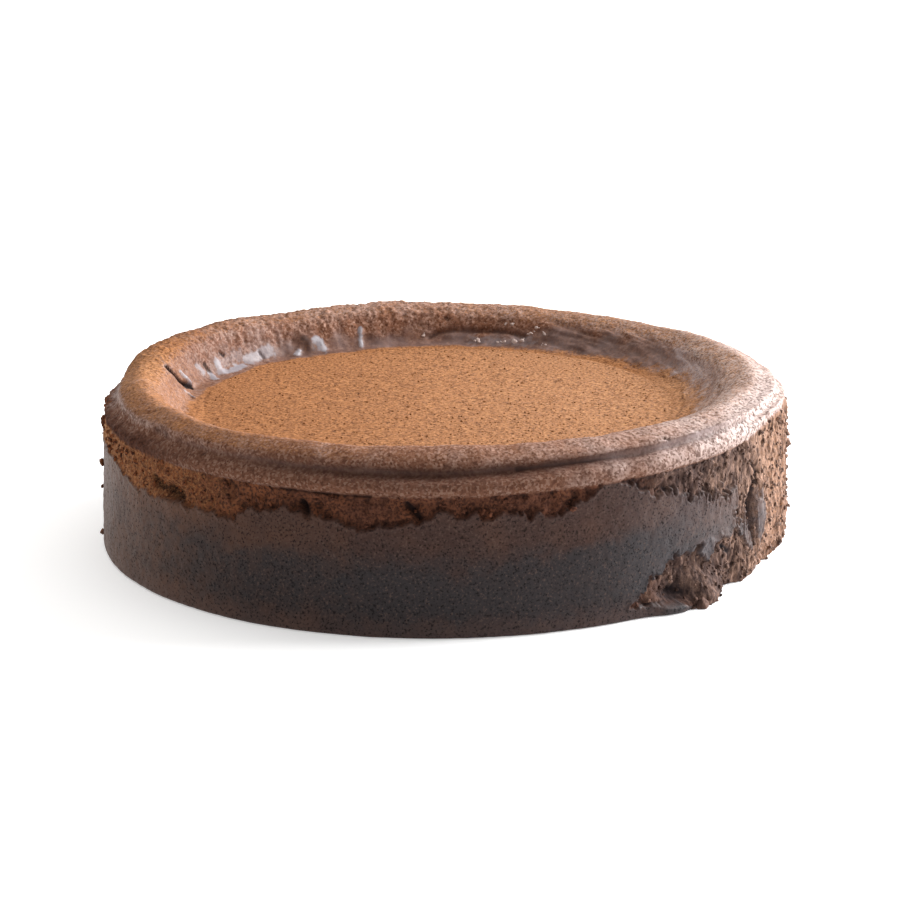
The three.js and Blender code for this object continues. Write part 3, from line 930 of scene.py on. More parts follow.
# %% [markdown]
# ## A flat layout
#
# To bake a finish into a picture, the surface has to be laid out flat: the side and the crust are unrolled in
# four strips, then come the floor and the underside as discs, all at nearly one scale.

# %% Layout for baking
STRIPS = 4
STRIP_GAP = 2
SHEET = 384  # millimetres of surface across the whole layout
UNDERSIDE_SCALE = 0.55

run_up = np.zeros(len(rows))
run_up[1:] = np.cumsum(np.linalg.norm(np.diff(surface, axis=0), axis=-1).mean(1))
first_side, last_crust = np.where(side)[0][0], np.where(crust)[0][-1]
loop_row, loop_column = np.concatenate(loop_rows), np.concatenate(loop_columns)
face_of_loop = np.repeat(np.arange(len(face_sizes)), face_sizes)


def whole_face(condition):
    """True at every corner of a face that has the condition at any corner."""
    return np.maximum.reduceat(condition, face_starts)[face_of_loop]


first_column = np.minimum.reduceat(loop_column, face_starts)[face_of_loop]
strip = first_column * STRIPS // COLUMNS
strip_width = 2 * math.pi * CAKE_RADIUS / STRIPS
strip_height = run_up[last_crust] - run_up[first_side]
u = (loop_column / COLUMNS * STRIPS - strip) * strip_width + (strip % 2) * (strip_width + STRIP_GAP)
v = run_up[loop_row] - run_up[first_side] + (strip // 2) * (strip_height + STRIP_GAP)
flat = vertices[all_loops]
discs_v = 2 * (strip_height + STRIP_GAP)
floor_reach = floor_edge.max() + STRIP_GAP
base_reach = CAKE_RADIUS * UNDERSIDE_SCALE + STRIP_GAP
touches_floor = whole_face((loop_row > last_crust) | (loop_row == FLOOR_MIDDLE))
touches_base = whole_face((loop_row < first_side) & (loop_row != FLOOR_MIDDLE))
u = np.where(touches_floor, flat[:, 0] + floor_reach, u)
v = np.where(touches_floor, flat[:, 1] + floor_reach + discs_v, v)
u = np.where(touches_base, flat[:, 0] * UNDERSIDE_SCALE + 2 * floor_reach + base_reach, u)
v = np.where(touches_base, flat[:, 1] * UNDERSIDE_SCALE + base_reach + discs_v, v)
layout = cake_mesh.uv_layers.new(name="OFBake")
layout.data.foreach_set("uv", (np.stack([u, v], 1) / SHEET).ravel())
print("layout reaches", (u.max() / SHEET).round(3), (v.max() / SHEET).round(3))

# %% [markdown]
# ## The cake's material
#
# One material covers the whole cake, because its finishes run into each other. It starts as bare crumb and
# lays skin, crust, glaze and cocoa over it, each where its mask says. Every layer mixes two or three browns
# with noise at the scale of its own grain. Chocolate brown turns out too red very easily, so the browns were
# matched to the photograph one by one.
# Some layers also paint shade, sheen and highlights into the colour, where the masks say.

# %% Node helpers
def new_material(name):
    material = bpy.data.materials.new(name)
    material.use_nodes = True
    tree = material.node_tree
    shader = tree.nodes["Principled BSDF"]
    return material, tree, shader


def plug(tree, socket, value):
    """Joins an output to a socket, or sets the socket where the value is a number or a colour."""
    if isinstance(value, bpy.types.NodeSocket):
        tree.links.new(value, socket)
    elif isinstance(value, tuple):
        socket.default_value = (*value, 1.0)
    else:
        socket.default_value = value


def mask_of(tree, name):
    reader = tree.nodes.new("ShaderNodeAttribute")
    reader.attribute_name = name
    return reader.outputs["Fac"]


def here(tree):
    return tree.nodes.new("ShaderNodeTexCoord").outputs["Object"]


def grain(tree, size, detail=3.0, rough=0.6, squash=None):
    """Soft noise whose largest lumps are the given number of millimetres wide, from 0 to 1."""
    texture = tree.nodes.new("ShaderNodeTexNoise")
    texture.inputs["Scale"].default_value = 1 / (size * MM)
    texture.inputs["Detail"].default_value = detail
    texture.inputs["Roughness"].default_value = rough
    place = here(tree)
    if squash:
        stretch = tree.nodes.new("ShaderNodeMapping")
        stretch.inputs["Scale"].default_value = squash
        tree.links.new(place, stretch.inputs["Vector"])
        place = stretch.outputs["Vector"]
    tree.links.new(place, texture.inputs["Vector"])
    return texture.outputs["Fac"]


def cells(tree, size, output="Distance"):
    """Pebble-like cells of a size in millimetres: how far from a cell's middle, or its own random colour."""
    texture = tree.nodes.new("ShaderNodeTexVoronoi")
    texture.inputs["Scale"].default_value = 1 / (size * MM)
    tree.links.new(here(tree), texture.inputs["Vector"])
    return texture.outputs[output]


def ranged(tree, value, low, high, to_low=0.0, to_high=1.0):
    """Stretches part of a range of numbers to another range, and holds at its ends."""
    node = tree.nodes.new("ShaderNodeMapRange")
    node.interpolation_type = "SMOOTHSTEP"
    tree.links.new(value, node.inputs["Value"])
    for name, number in zip(("From Min", "From Max", "To Min", "To Max"), (low, high, to_low, to_high)):
        node.inputs[name].default_value = number
    return node.outputs["Result"]


def maths(tree, operation, first, second):
    node = tree.nodes.new("ShaderNodeMath")
    node.operation = operation
    plug(tree, node.inputs[0], first)
    plug(tree, node.inputs[1], second)
    return node.outputs[0]


def blend_colours(tree, share, first, second, how="MIX"):
    node = tree.nodes.new("ShaderNodeMix")
    node.data_type = "RGBA"
    node.blend_type = how
    plug(tree, node.inputs["Factor"], share)
    plug(tree, node.inputs[6], first)
    plug(tree, node.inputs[7], second)
    return node.outputs[2]


def blend_numbers(tree, share, first, second):
    node = tree.nodes.new("ShaderNodeMix")
    plug(tree, node.inputs["Factor"], share)
    plug(tree, node.inputs[2], first)
    plug(tree, node.inputs[3], second)
    return node.outputs[0]


# %% Colour of the crumb
# Each colour is linear light: how much of the red, green and blue that falls on it comes back.
# The tans go where the pale mask says, so they are partly painted light and sheen.
CRUMB_DARK, CRUMB_MID, CRUMB_TAN = (0.043, 0.017, 0.011), (0.102, 0.040, 0.024), (0.24, 0.077, 0.026)
DRY_DARK, DRY_MID, DRY_TAN_AND_SHEEN = (0.036, 0.021, 0.018), (0.090, 0.054, 0.044), (0.35, 0.215, 0.155)
# The pit colours are painted shade for hollows, cracks and slits.
CRUMB_PIT_SHADE, DRY_PIT_SHADE = (0.016, 0.009, 0.008), (0.030, 0.025, 0.028)


def on_screen(colour):
    """A linear colour as the values from 0 to 255 that a picture of it holds."""
    return [round(255 * (1.055 * part ** (1 / 2.4) - 0.055)) for part in colour]


def crumb_colour(tree):
    speckle = grain(tree, 0.95, detail=2.5, rough=0.6)
    colour = blend_colours(tree, ranged(tree, speckle, 0.34, 0.60), CRUMB_DARK, CRUMB_MID)
    tan_share = maths(tree, "MULTIPLY", mask_of(tree, "pale_and_lit"), ranged(tree, speckle, 0.38, 0.62))
    colour = blend_colours(tree, tan_share, colour, CRUMB_TAN)
    strands = grain(tree, 1.5, detail=3, rough=0.6, squash=(1, 1, 0.3))
    dry_and_sheen_colour = blend_colours(tree, ranged(tree, strands, 0.36, 0.56), DRY_DARK, DRY_MID)
    tan_share = blend_numbers(tree, mask_of(tree, "pale_and_lit"), ranged(tree, strands, 0.56, 0.74, 0.0, 0.5),
                              ranged(tree, strands, 0.38, 0.62, 0.1, 0.9))
    dry_and_sheen_colour = blend_colours(tree, tan_share, dry_and_sheen_colour, DRY_TAN_AND_SHEEN)
    colour = blend_colours(tree, mask_of(tree, "dry"), colour, dry_and_sheen_colour)
    # Painted shade: hollows and dark cracks turn towards the pit colour.
    pit_shade_colour = blend_colours(tree, mask_of(tree, "dry"), CRUMB_PIT_SHADE, DRY_PIT_SHADE)
    painted_pit_shade = ranged(tree, mask_of(tree, "hollow"), 0.15, 1.3, 0.0, 0.7)
    return blend_colours(tree, maths(tree, "MAXIMUM", painted_pit_shade, mask_of(tree, "dark")), colour, pit_shade_colour)


print("middle crumb on a screen:", on_screen(CRUMB_MID))

# %% Colour of the skin
# Pale skin, where the pale mask says, is partly painted light and sheen at the left and right of the cake.
SKIN_WARM, SKIN_DARK, SKIN_PALE = (0.037, 0.0145, 0.0095), (0.018, 0.013, 0.014), (0.105, 0.043, 0.021)
SKIN_PORE, SKIN_FLECK, SKIN_GREY_BLUE = (0.006, 0.005, 0.005), (0.085, 0.048, 0.036), (0.085, 0.085, 0.095)
GREY_BLUE_ON_SKIN = 0.17  # share of grey-blue over the skin where the dry mask is set


def skin_pores(tree):
    """1 in the pores: round holes, and finer ragged ones between them."""
    round_ones = maths(tree, "MULTIPLY", ranged(tree, cells(tree, 1.4), 0.12, 0.28, 0.85, 0.0),
                       ranged(tree, grain(tree, 5, detail=2), 0.40, 0.60))
    ragged_ones = ranged(tree, grain(tree, 0.8, detail=2), 0.32, 0.46, 0.75, 0.0)
    return maths(tree, "MAXIMUM", round_ones, ragged_ones)


def skin_colour(tree):
    patches = grain(tree, 5, detail=3, rough=0.6)
    baked_and_shaded_share = maths(tree, "ADD", mask_of(tree, "baked_and_shaded"), ranged(tree, patches, 0.35, 0.65, -0.12, 0.12))
    colour = blend_colours(tree, mask_of(tree, "pale_and_lit"), SKIN_WARM, SKIN_PALE)
    colour = blend_colours(tree, ranged(tree, baked_and_shaded_share, 0.0, 1.0), colour, SKIN_DARK)
    grey_blue_share = maths(tree, "MULTIPLY", mask_of(tree, "dry"), GREY_BLUE_ON_SKIN)
    colour = blend_colours(tree, grey_blue_share, colour, SKIN_GREY_BLUE)
    colour = blend_colours(tree, skin_pores(tree), colour, SKIN_PORE)
    flecks = ranged(tree, grain(tree, 0.8, detail=2), 0.56, 0.70, 0.0, 0.5)
    return blend_colours(tree, flecks, colour, SKIN_FLECK)


print("warm skin on a screen:", on_screen(SKIN_WARM), "and baked dark:", on_screen(SKIN_DARK))

# %% Colour of the crust
CRUST_DARK, CRUST_MID, CRUST_PALE = (0.10, 0.041, 0.024), (0.195, 0.087, 0.052), (0.37, 0.225, 0.165)
# Below: crust colours with a painted sheen, for where the window grazes the right of the rim and lip.
SHEEN_CRUST_DARK, SHEEN_CRUST_PALE = (0.12, 0.078, 0.066), (0.39, 0.30, 0.27)
CRUST_SPECK, CRUST_SHADE = (0.050, 0.028, 0.022), (0.050, 0.022, 0.016)


def crust_grain(tree):
    """The crust's sandy grain, from 0 in its pits to 1 on its pale grains."""
    soft = maths(tree, "MULTIPLY", grain(tree, 1.2, detail=3, rough=0.7), 0.55)
    grains = maths(tree, "MULTIPLY", cells(tree, 0.75, "Color"), 0.45)
    sand = ranged(tree, maths(tree, "ADD", soft, grains), 0.28, 0.72)
    pits = maths(tree, "MULTIPLY", ranged(tree, cells(tree, 2.2), 0.10, 0.22, 0.8, 0.0),
                 ranged(tree, grain(tree, 6, detail=2), 0.42, 0.58))
    return maths(tree, "SUBTRACT", sand, pits)


def crust_colour(tree):
    sand = crust_grain(tree)
    colour = blend_colours(tree, ranged(tree, sand, -0.1, 0.6), CRUST_DARK, CRUST_MID)
    colour = blend_colours(tree, ranged(tree, sand, 0.6, 1.0, 0.0, 0.55), colour, CRUST_PALE)
    dry_and_sheen_colour = blend_colours(tree, ranged(tree, sand, -0.1, 0.6), SHEEN_CRUST_DARK, SHEEN_CRUST_PALE)
    specks = ranged(tree, cells(tree, 1.6), 0.16, 0.30, 0.9, 0.0)
    dry_and_sheen_colour = blend_colours(tree, specks, dry_and_sheen_colour, CRUST_SPECK)
    # Painted sheen and light, where the pale mask says.
    colour = blend_colours(tree, mask_of(tree, "pale_and_lit"), colour, dry_and_sheen_colour)
    # Painted shade: hollows and the dark mask take the shade colour, and the darkest cracks and slits the pit
    # colour.
    painted_pit_shade = ranged(tree, mask_of(tree, "hollow"), 0.05, 0.6, 0.0, 0.7)
    shade = maths(tree, "MAXIMUM", painted_pit_shade, mask_of(tree, "dark"))
    colour = blend_colours(tree, shade, colour, CRUST_SHADE)
    return blend_colours(tree, ranged(tree, mask_of(tree, "dark"), 0.6, 1.0), colour, CRUMB_PIT_SHADE)


print("middle crust on a screen:", on_screen(CRUST_MID))

# %% Colour of the glaze
# The third glaze colour is a painted sheen, for the ridges of the right wall.
GLAZE_DARK, GLAZE_PALE, PAINTED_GLAZE_SHEEN = (0.080, 0.036, 0.026), (0.18, 0.095, 0.070), (0.29, 0.225, 0.225)


def glaze_colour(tree):
    streaks = ranged(tree, grain(tree, 3, detail=4, rough=0.7), 0.42, 0.68)
    colour = blend_colours(tree, streaks, GLAZE_DARK, GLAZE_PALE)
    # Painted sheen, where the pale mask says.
    colour = blend_colours(tree, mask_of(tree, "pale_and_lit"), colour, PAINTED_GLAZE_SHEEN)
    # Painted shade from the dark mask lies on the glaze too.
    return blend_colours(tree, maths(tree, "MULTIPLY", mask_of(tree, "dark"), 0.8), colour, CRUST_SHADE)


print("pale glaze on a screen:", on_screen(GLAZE_PALE))

# %% Colour of the cocoa
COCOA_DARK, COCOA_MID, COCOA_PALE = (0.085, 0.030, 0.011), (0.27, 0.112, 0.044), (0.42, 0.195, 0.082)
# Painted light: the cocoa is darker and warmer at the left, lighter and cooler at the right, towards the
# window.
COCOA_PAINTED_SHADE_LEFT, COCOA_PAINTED_LIGHT_RIGHT = (0.90, 0.86, 0.78), (1.10, 1.20, 1.33)  # the cocoa's colour is multiplied by these


def cocoa_colour(tree):
    speckle = grain(tree, 1.0, detail=3, rough=0.7)
    colour = blend_colours(tree, ranged(tree, speckle, 0.34, 0.50), COCOA_DARK, COCOA_MID)
    colour = blend_colours(tree, ranged(tree, speckle, 0.50, 0.66), colour, COCOA_PALE)
    clots = ranged(tree, cells(tree, 1.8), 0.08, 0.28, 0.45, 0.0)
    some = ranged(tree, grain(tree, 4, detail=2), 0.42, 0.56)
    colour = blend_colours(tree, maths(tree, "MULTIPLY", clots, some), colour, COCOA_DARK)
    painted_light_tint = blend_colours(tree, mask_of(tree, "pale_and_lit"), COCOA_PAINTED_SHADE_LEFT, COCOA_PAINTED_LIGHT_RIGHT)
    return blend_colours(tree, 1.0, colour, painted_light_tint, "MULTIPLY")


print("middle cocoa on a screen:", on_screen(COCOA_MID))

# %% Layers of the cake
# Painted highlight: wet glaze and shining scraps turn pale blue-grey, the reflection of window and room.
PAINTED_HIGHLIGHT = (0.21, 0.195, 0.215)
PAINTED_HIGHLIGHT_SHARE = 0.9  # how much of its colour wet glaze gets from its painted highlight


def dusting(tree):
    """How much cocoa shows: the mask, broken up by grain as fine as the powder."""
    powder = ranged(tree, grain(tree, 0.9, detail=5, rough=0.85), 0.35, 0.65, -0.3, 0.3)
    share = mask_of(tree, "cocoa")
    uncertain = ranged(tree, share, 0.0, 0.3)
    return ranged(tree, maths(tree, "ADD", share, maths(tree, "MULTIPLY", powder, uncertain)), 0.0, 1.0)


def by_finish(tree, crumb, skin, crust_part, glaze_part, cocoa_part):
    """One number for the whole cake from a number, or an output, for each finish."""
    value = blend_numbers(tree, mask_of(tree, "skin"), crumb, skin)
    value = blend_numbers(tree, mask_of(tree, "crust"), value, crust_part)
    value = blend_numbers(tree, mask_of(tree, "glaze"), value, glaze_part)
    return blend_numbers(tree, dusting(tree), value, cocoa_part)


def cake_colour(tree):
    colour = blend_colours(tree, mask_of(tree, "skin"), crumb_colour(tree), skin_colour(tree))
    colour = blend_colours(tree, mask_of(tree, "crust"), colour, crust_colour(tree))
    colour = blend_colours(tree, mask_of(tree, "glaze"), colour, glaze_colour(tree))
    # Painted highlight over the wet glaze and the shining scraps.
    painted_highlight = maths(tree, "MULTIPLY", mask_of(tree, "wet_and_highlight"), PAINTED_HIGHLIGHT_SHARE)
    colour = blend_colours(tree, painted_highlight, colour, PAINTED_HIGHLIGHT)
    return blend_colours(tree, dusting(tree), colour, cocoa_colour(tree))


# %% The cake's material
WET_ROUGHNESS, WET_GLOSS, WET_BUMP = 0.46, 0.34, 0.35
WET_COAT, COAT_ROUGHNESS = 0.1, 0.3
BUMP_DEPTH = 0.5  # millimetres
BUMP_STRENGTHS = (0.8, 0.4, 0.3, 0.1, 0.6)  # of crumb, skin, crust, glaze and cocoa


def cake_material():
    material, tree, shader = new_material("chocolate_cake")
    plug(tree, shader.inputs["Base Color"], cake_colour(tree))

    wet_and_highlight = mask_of(tree, "wet_and_highlight")
    rough_skin = ranged(tree, skin_pores(tree), 0.0, 1.0, 0.5, 0.8)
    rough_crust = ranged(tree, crust_grain(tree), 0.3, 0.9, 0.75, 0.5)
    rough = by_finish(tree, 0.8, rough_skin, rough_crust, 0.5, 0.95)
    plug(tree, shader.inputs["Roughness"], blend_numbers(tree, wet_and_highlight, rough, WET_ROUGHNESS))

    glossy_skin = ranged(tree, skin_pores(tree), 0.0, 1.0, 0.19, 0.06)
    glossy_grains = ranged(tree, crust_grain(tree), 0.3, 0.9, 0.12, 0.3)
    glossy_crust = blend_numbers(tree, mask_of(tree, "pale_and_lit"), 0.06, glossy_grains)
    gloss = by_finish(tree, 0.06, glossy_skin, glossy_crust, 0.22, 0.12)
    plug(tree, shader.inputs["Specular IOR Level"], blend_numbers(tree, wet_and_highlight, gloss, WET_GLOSS))
    plug(tree, shader.inputs["Coat Weight"], maths(tree, "MULTIPLY", wet_and_highlight, WET_COAT))
    shader.inputs["Coat Roughness"].default_value = COAT_ROUGHNESS

    bump = tree.nodes.new("ShaderNodeBump")
    bump.inputs["Distance"].default_value = BUMP_DEPTH * MM
    fine = grain(tree, 1.1, detail=3, rough=0.6)
    pores = maths(tree, "MULTIPLY", skin_pores(tree), -0.3)
    plug(tree, bump.inputs["Height"], by_finish(tree, fine, pores, crust_grain(tree), fine, fine))
    strength = by_finish(tree, *BUMP_STRENGTHS)
    plug(tree, bump.inputs["Strength"], blend_numbers(tree, wet_and_highlight, strength, WET_BUMP))
    tree.links.new(bump.outputs["Normal"], shader.inputs["Normal"])
    return material


cake_surface = bpy.data.objects.new("cake_surface", cake_mesh)
bpy.context.collection.objects.link(cake_surface)
cake_mesh.materials.append(cake_material())
print(len(cake_mesh.materials[0].node_tree.nodes), "nodes in the cake's material")
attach(cake_surface, "root")
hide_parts("cake")
print("cake_surface stands for the solid")

# %% [markdown]
# ## Loose crumbs
#
# Torn crumb sheds bits that hang on by a corner. They are true geometry, a few tenths of a millimetre to two
# millimetres across, half sunk into the surface, so they show at the outline of the cake. One mesh holds them
# all, because they are one kind of thing and never move.

# %% Crumbs on the torn side
CRUMB_COUNT = 1800
CRUMB_RADII = (0.2, 0.8)
BALL_SHAPES = 6  # different balls, of which each bit is a turned and stretched one
BALL_FINENESS = 2  # times that a ball's triangles are split
# Larger crumbs that show at the cake's outline and foot: angle, height and radius.
STUCK_CRUMBS = [(-172.5, 46, 1.1), (-174.5, 43.5, 1.3), (-173.5, 29.5, 0.9), (-173, 21, 0.6),
                (-173.5, 4.5, 0.8), (-7, 35, 1.4), (-5.5, 32.5, 1.1), (-8, 26, 0.9), (-9, 17.5, 0.8),
                (-6.5, 12, 0.9), (-47.5, 1.6, 1.5), (-48.6, 0.9, 0.8), (-53.7, 47.2, 1.2),
                (-70, 40.2, 0.9)]


def rough_ball(unevenness, shift):
    """A small ball with an uneven surface: its corners and its faces."""
    ball = bmesh.new()
    bmesh.ops.create_icosphere(ball, subdivisions=BALL_FINENESS, radius=1)
    for vertex in ball.verts:
        vertex.co *= 1 + unevenness * noise.noise(vertex.co * 1.3 + Vector((shift, 0, 0)))
    points = np.array([vertex.co[:] for vertex in ball.verts])
    faces = np.array([[vertex.index for vertex in face.verts] for face in ball.faces])
    ball.free()
    return points, faces


def random_turn(draw):
    axis = Vector([draw.gauss(0, 1) for _ in range(3)]).normalized()
    return np.array(Matrix.Rotation(draw.uniform(0, 2 * math.pi), 3, axis))


def scattered(name, spots, material, seed, stretch=(1, 1, 1), unevenness=0.75, tones=None):
    """One mesh of many uneven balls; each spot is its middle, its radius and how flat it is.

    Tones are masks with one number for each ball, which its material reads by name.
    """
    draw = random.Random(seed)
    shapes = [rough_ball(unevenness, 5 * kind) for kind in range(BALL_SHAPES)]
    points, faces = [], []
    for middle, radius, flatness in spots:
        shape, corners = draw.choice(shapes)
        stretched = shape * np.array(stretch) * [draw.uniform(0.7, 1.3) for _ in range(3)]
        turned = stretched @ random_turn(draw).T
        faces.append(corners + len(points) * len(shape))
        bit = turned * radius * np.array([1, 1, flatness]) + middle
        points.append(np.maximum(bit, [-np.inf, -np.inf, 0]))
    mesh = bpy.data.meshes.new(name)
    mesh.from_pydata((np.concatenate(points) * MM).tolist(), [], np.concatenate(faces).tolist())
    mesh.polygons.foreach_set("use_smooth", np.ones(len(mesh.polygons), bool))
    for tone, values in (tones or {}).items():
        per_point = np.repeat(values, len(shapes[0][0]))
        mesh.attributes.new(tone, "FLOAT", "POINT").data.foreach_set("value", per_point)
    mesh.materials.append(material)
    piece = bpy.data.objects.new(name, mesh)
    bpy.context.collection.objects.link(piece)
    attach(piece, "root")
    print(name, len(spots), "bits,", len(mesh.polygons), "triangles")


def tones_at(spot_grid, names):
    """The cake's own masks at each spot's row and column, so that loose bits match what they lie on."""
    spot_rows, spot_columns = np.array(spot_grid).T
    return {name: MASKS[name][spot_rows, spot_columns] for name in names}


def crumb_material():
    material, tree, shader = new_material("loose_crumb")
    plug(tree, shader.inputs["Base Color"], crumb_colour(tree))
    plug(tree, shader.inputs["Roughness"], ranged(tree, grain(tree, 1, detail=2), 0.3, 0.7, 0.75, 0.95))
    shader.inputs["Specular IOR Level"].default_value = 0.1
    return material


chance = random.Random(21)
torn_rows, torn_columns = np.where(full(side, torn) > 0.85)
spots, spot_grid = [], []
for _ in range(CRUMB_COUNT):
    pick = chance.randrange(len(torn_rows))
    row, column = torn_rows[pick], torn_columns[pick]
    radius = mix(*CRUMB_RADII, chance.random() ** 2.2)
    middle = surface[row, column] + outwards[row, column] * radius * 0.25
    spots.append((middle, radius, 1))
    spot_grid.append((row, column))
for crumb_angle, crumb_height, radius in STUCK_CRUMBS:
    column = np.argmin(abs(turn(angles - crumb_angle)))
    row = np.argmin(np.where(side, abs(heights[:, column] - crumb_height), np.inf))
    middle = surface[row, column] + outwards[row, column] * radius * 0.5
    spots.append((middle, radius, 1))
    spot_grid.append((row, column))
# The loose crumbs take the cake's pale mask, painted light and sheen included.
tones = tones_at(spot_grid, ["pale_and_lit", "dry"])
scattered("side_crumbs", spots, crumb_material(), 22, (1, 1, 1.2), tones=tones)

# %% [markdown]
# ## Clots of cocoa
#
# Sifted cocoa clots here and there into flat bits as small as a pinhead. They are made like the crumbs, and
# they take the cocoa's own colour, so that they show only by the light on them.
# Through the pale mask the clots take the cocoa's painted light too, lighter towards the right.

# %% Clots of cocoa
CLOT_COUNT = 1500
CLOT_RADII = (0.2, 0.45)


def cocoa_material():
    material, tree, shader = new_material("cocoa_clots")
    plug(tree, shader.inputs["Base Color"], cocoa_colour(tree))
    shader.inputs["Roughness"].default_value = 0.95
    shader.inputs["Specular IOR Level"].default_value = 0.2
    return material


spots, spot_grid = [], []
floor_row_numbers = np.where(floor)[0]
for _ in range(CLOT_COUNT):
    distance = math.sqrt(chance.random())
    row = floor_row_numbers[min(int((1 - distance) * len(floor_row_numbers)), len(floor_row_numbers) - 1)]
    column = chance.randrange(COLUMNS)
    radius = mix(*CLOT_RADII, chance.random() ** 3)
    spots.append((surface[row, column] + np.array([0, 0, radius * 0.2]), radius, 0.7))
    spot_grid.append((row, column))
scattered("cocoa_clots", spots, cocoa_material(), 23, tones=tones_at(spot_grid, ["pale_and_lit"]))

# %% [markdown]
# ## Bubbles of glaze
#
# At the back, steam broke through the glaze and left a froth of bubbles. Each large one has its own place on
# the wall and a few small ones by chance beside it. They are balls sunk almost half way into the surface.
# Their pale colour is a painted highlight, the glint of the window on them.

# %% Bubbles of glaze
# Angle, station and radius of each large bubble.
BUBBLES = [(94.5, 9.4, 0.7), (81.5, 9.7, 1.1), (76.5, 9.9, 0.6), (75, 9.8, 0.7), (72.5, 9.8, 1.0),
           (70.5, 9.6, 1.0), (69, 9.0, 0.8), (66, 8.9, 0.9), (68, 8.6, 0.7), (64.5, 9.7, 0.7),
           (75.5, 8.5, 0.6), (73.8, 8.5, 0.6)]
# The bubbles' pale colour is a painted highlight.
BUBBLE_PAINTED_HIGHLIGHT = (0.42, 0.31, 0.27)
BUBBLE_ROUGHNESS = 0.45
BUBBLE_SUNK = 0.45  # how deep a bubble's middle lies, as a share of its radius
FROTH = 2  # small bubbles beside each large one


def bubble_material():
    material, tree, shader = new_material("glaze_bubbles")
    plug(tree, shader.inputs["Base Color"], BUBBLE_PAINTED_HIGHLIGHT)
    plug(tree, shader.inputs["Roughness"], BUBBLE_ROUGHNESS)
    return material


crust_surface, crust_outwards = surface[crust], final_outwards[crust]
spots = []
for bubble_angle, bubble_station, radius in BUBBLES:
    for small in range(FROTH + 1):
        size = radius * (chance.uniform(0.35, 0.7) if small else 1)
        middle = crust_place(bubble_angle, bubble_station)
        if small:
            middle += radius * np.array([chance.gauss(0, 1.2), chance.gauss(0, 0.6), chance.gauss(0, 0.6)])
        gap = np.linalg.norm(crust_places - middle, axis=-1)
        nearest = np.unravel_index(np.argmin(gap), gap.shape)
        spots.append((crust_surface[nearest] - BUBBLE_SUNK * size * crust_outwards[nearest], size, 1))
scattered("glaze_bubbles", spots, bubble_material(), 24, unevenness=0.3)

# %% [markdown]
# ## Floor, light and white room
#
# The photograph is a bright one: white all round, daylight from a window at the right and a little behind,
# and a softly shaded front. The floor is plain and pale. A large soft light overhead keeps the floor near
# white, the window grazes the rim and puts cool highlights on the wet glaze opposite, and the room itself is
# brighter behind the cake than in front of it.
# Part of the rim's sheen and of the wet glaze's highlights is also painted into the cake's colours.

# %% Floor
FLOOR_SIZE = 30  # metres
FLOOR_TONE = (0.86, 0.855, 0.85)
FLOOR_UNEVENNESS = 0.985  # the darker patches' share of the tone
FLOOR_GLOW = 0.36  # keeps the shadow on the floor as light as in the photograph


def make_floor():
    floor_mesh = bpy.data.meshes.new("studio_floor")
    half = FLOOR_SIZE / 2
    corners = [(-half, -half, 0), (half, -half, 0), (half, half, 0), (-half, half, 0)]
    floor_mesh.from_pydata(corners, [], [(0, 1, 2, 3)])
    piece = bpy.data.objects.new("studio_floor", floor_mesh)
    bpy.context.collection.objects.link(piece)
    material, tree, shader = new_material("pale_floor")
    patch_tone = tuple(FLOOR_UNEVENNESS * part for part in FLOOR_TONE)
    tone = blend_colours(tree, grain(tree, 60, detail=2), FLOOR_TONE, patch_tone)
    plug(tree, shader.inputs["Base Color"], tone)
    shader.inputs["Roughness"].default_value = 0.9
    shader.inputs["Specular IOR Level"].default_value = 0.1
    shader.inputs["Emission Color"].default_value = (1, 1, 1, 1)
    shader.inputs["Emission Strength"].default_value = FLOOR_GLOW
    floor_mesh.materials.append(material)


make_floor()
print("a floor of", FLOOR_SIZE, "by", FLOOR_SIZE, "m")

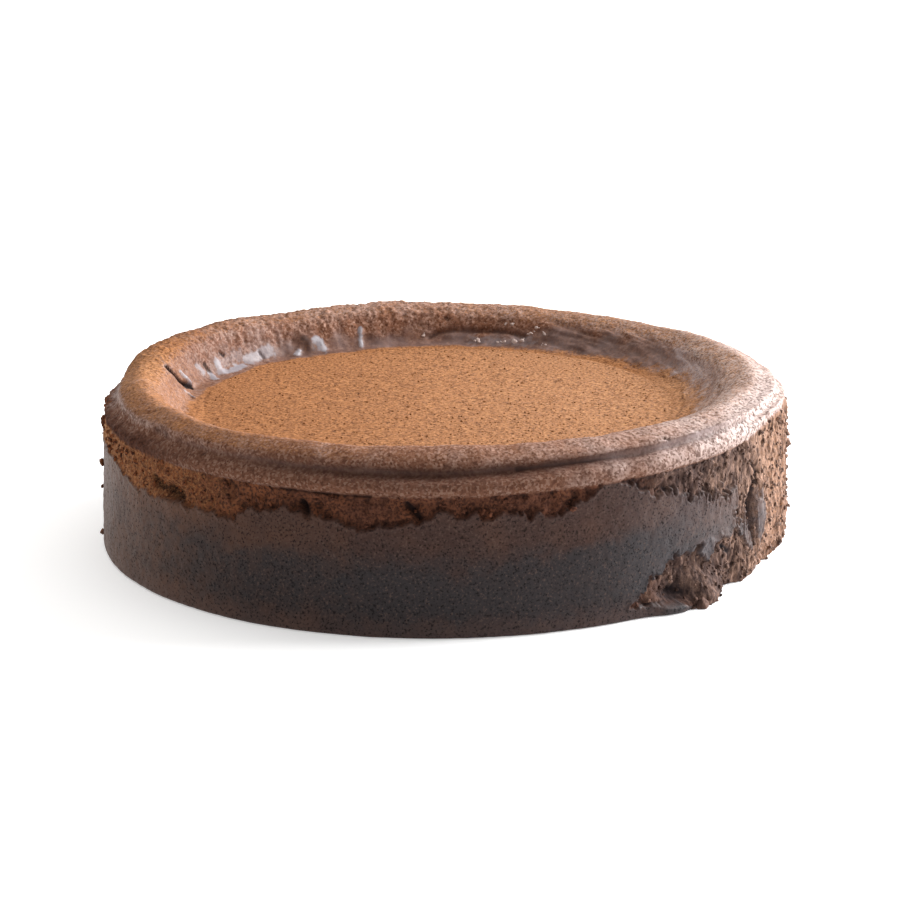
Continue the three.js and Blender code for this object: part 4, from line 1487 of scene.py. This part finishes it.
# %% Lights
# Each light: place, what it looks at, width, height (metres), power in watts and colour.
LIGHTS = {
    "overhead": ((-0.1, 0.35, 1.5), (0, 0, 0), 1.8, 1.4, 8, (1.0, 0.975, 0.94)),
    "window": ((1.1, 0.445, 0.53), (0, 0, 0.04), 1.2, 0.9, 64, (0.97, 0.985, 1.0)),
}


def make_light(name, place, target, width, height, watts, colour):
    data = bpy.data.lights.new(name, "AREA")
    data.shape = "RECTANGLE"
    data.size, data.size_y = width, height
    data.energy, data.color = watts, colour
    light = bpy.data.objects.new(name, data)
    bpy.context.collection.objects.link(light)
    light.location = place
    light.rotation_euler = (Vector(target) - Vector(place)).to_track_quat("-Z", "Y").to_euler()


for name, settings in LIGHTS.items():
    make_light(name, *settings)
print("lights:", ", ".join(LIGHTS))

# %% White room
ROOM_FRONT, ROOM_BACK = 0.35, 0.95  # brightness of the room before and behind the cake
SEEN_WHITE = 1.0


def white_room():
    world = bpy.data.worlds.new("white_room")
    bpy.context.scene.world = world
    world.use_nodes = True
    tree = world.node_tree
    tree.nodes.clear()
    direction = tree.nodes.new("ShaderNodeSeparateXYZ")
    tree.links.new(tree.nodes.new("ShaderNodeTexCoord").outputs["Generated"], direction.inputs[0])
    room, seen = tree.nodes.new("ShaderNodeBackground"), tree.nodes.new("ShaderNodeBackground")
    brightness = ranged(tree, direction.outputs["Y"], -0.7, 0.7, ROOM_FRONT, ROOM_BACK)
    tree.links.new(brightness, room.inputs["Strength"])
    seen.inputs["Strength"].default_value = SEEN_WHITE
    for background in (room, seen):
        background.inputs["Color"].default_value = (1, 1, 1, 1)
    chooser = tree.nodes.new("ShaderNodeMixShader")
    tree.links.new(tree.nodes.new("ShaderNodeLightPath").outputs["Is Camera Ray"], chooser.inputs[0])
    tree.links.new(room.outputs[0], chooser.inputs[1])
    tree.links.new(seen.outputs[0], chooser.inputs[2])
    tree.links.new(chooser.outputs[0], tree.nodes.new("ShaderNodeOutputWorld").inputs["Surface"])


white_room()
bpy.context.scene.view_settings.view_transform = "Standard"
print("the room's brightness runs from", ROOM_FRONT, "to", ROOM_BACK)
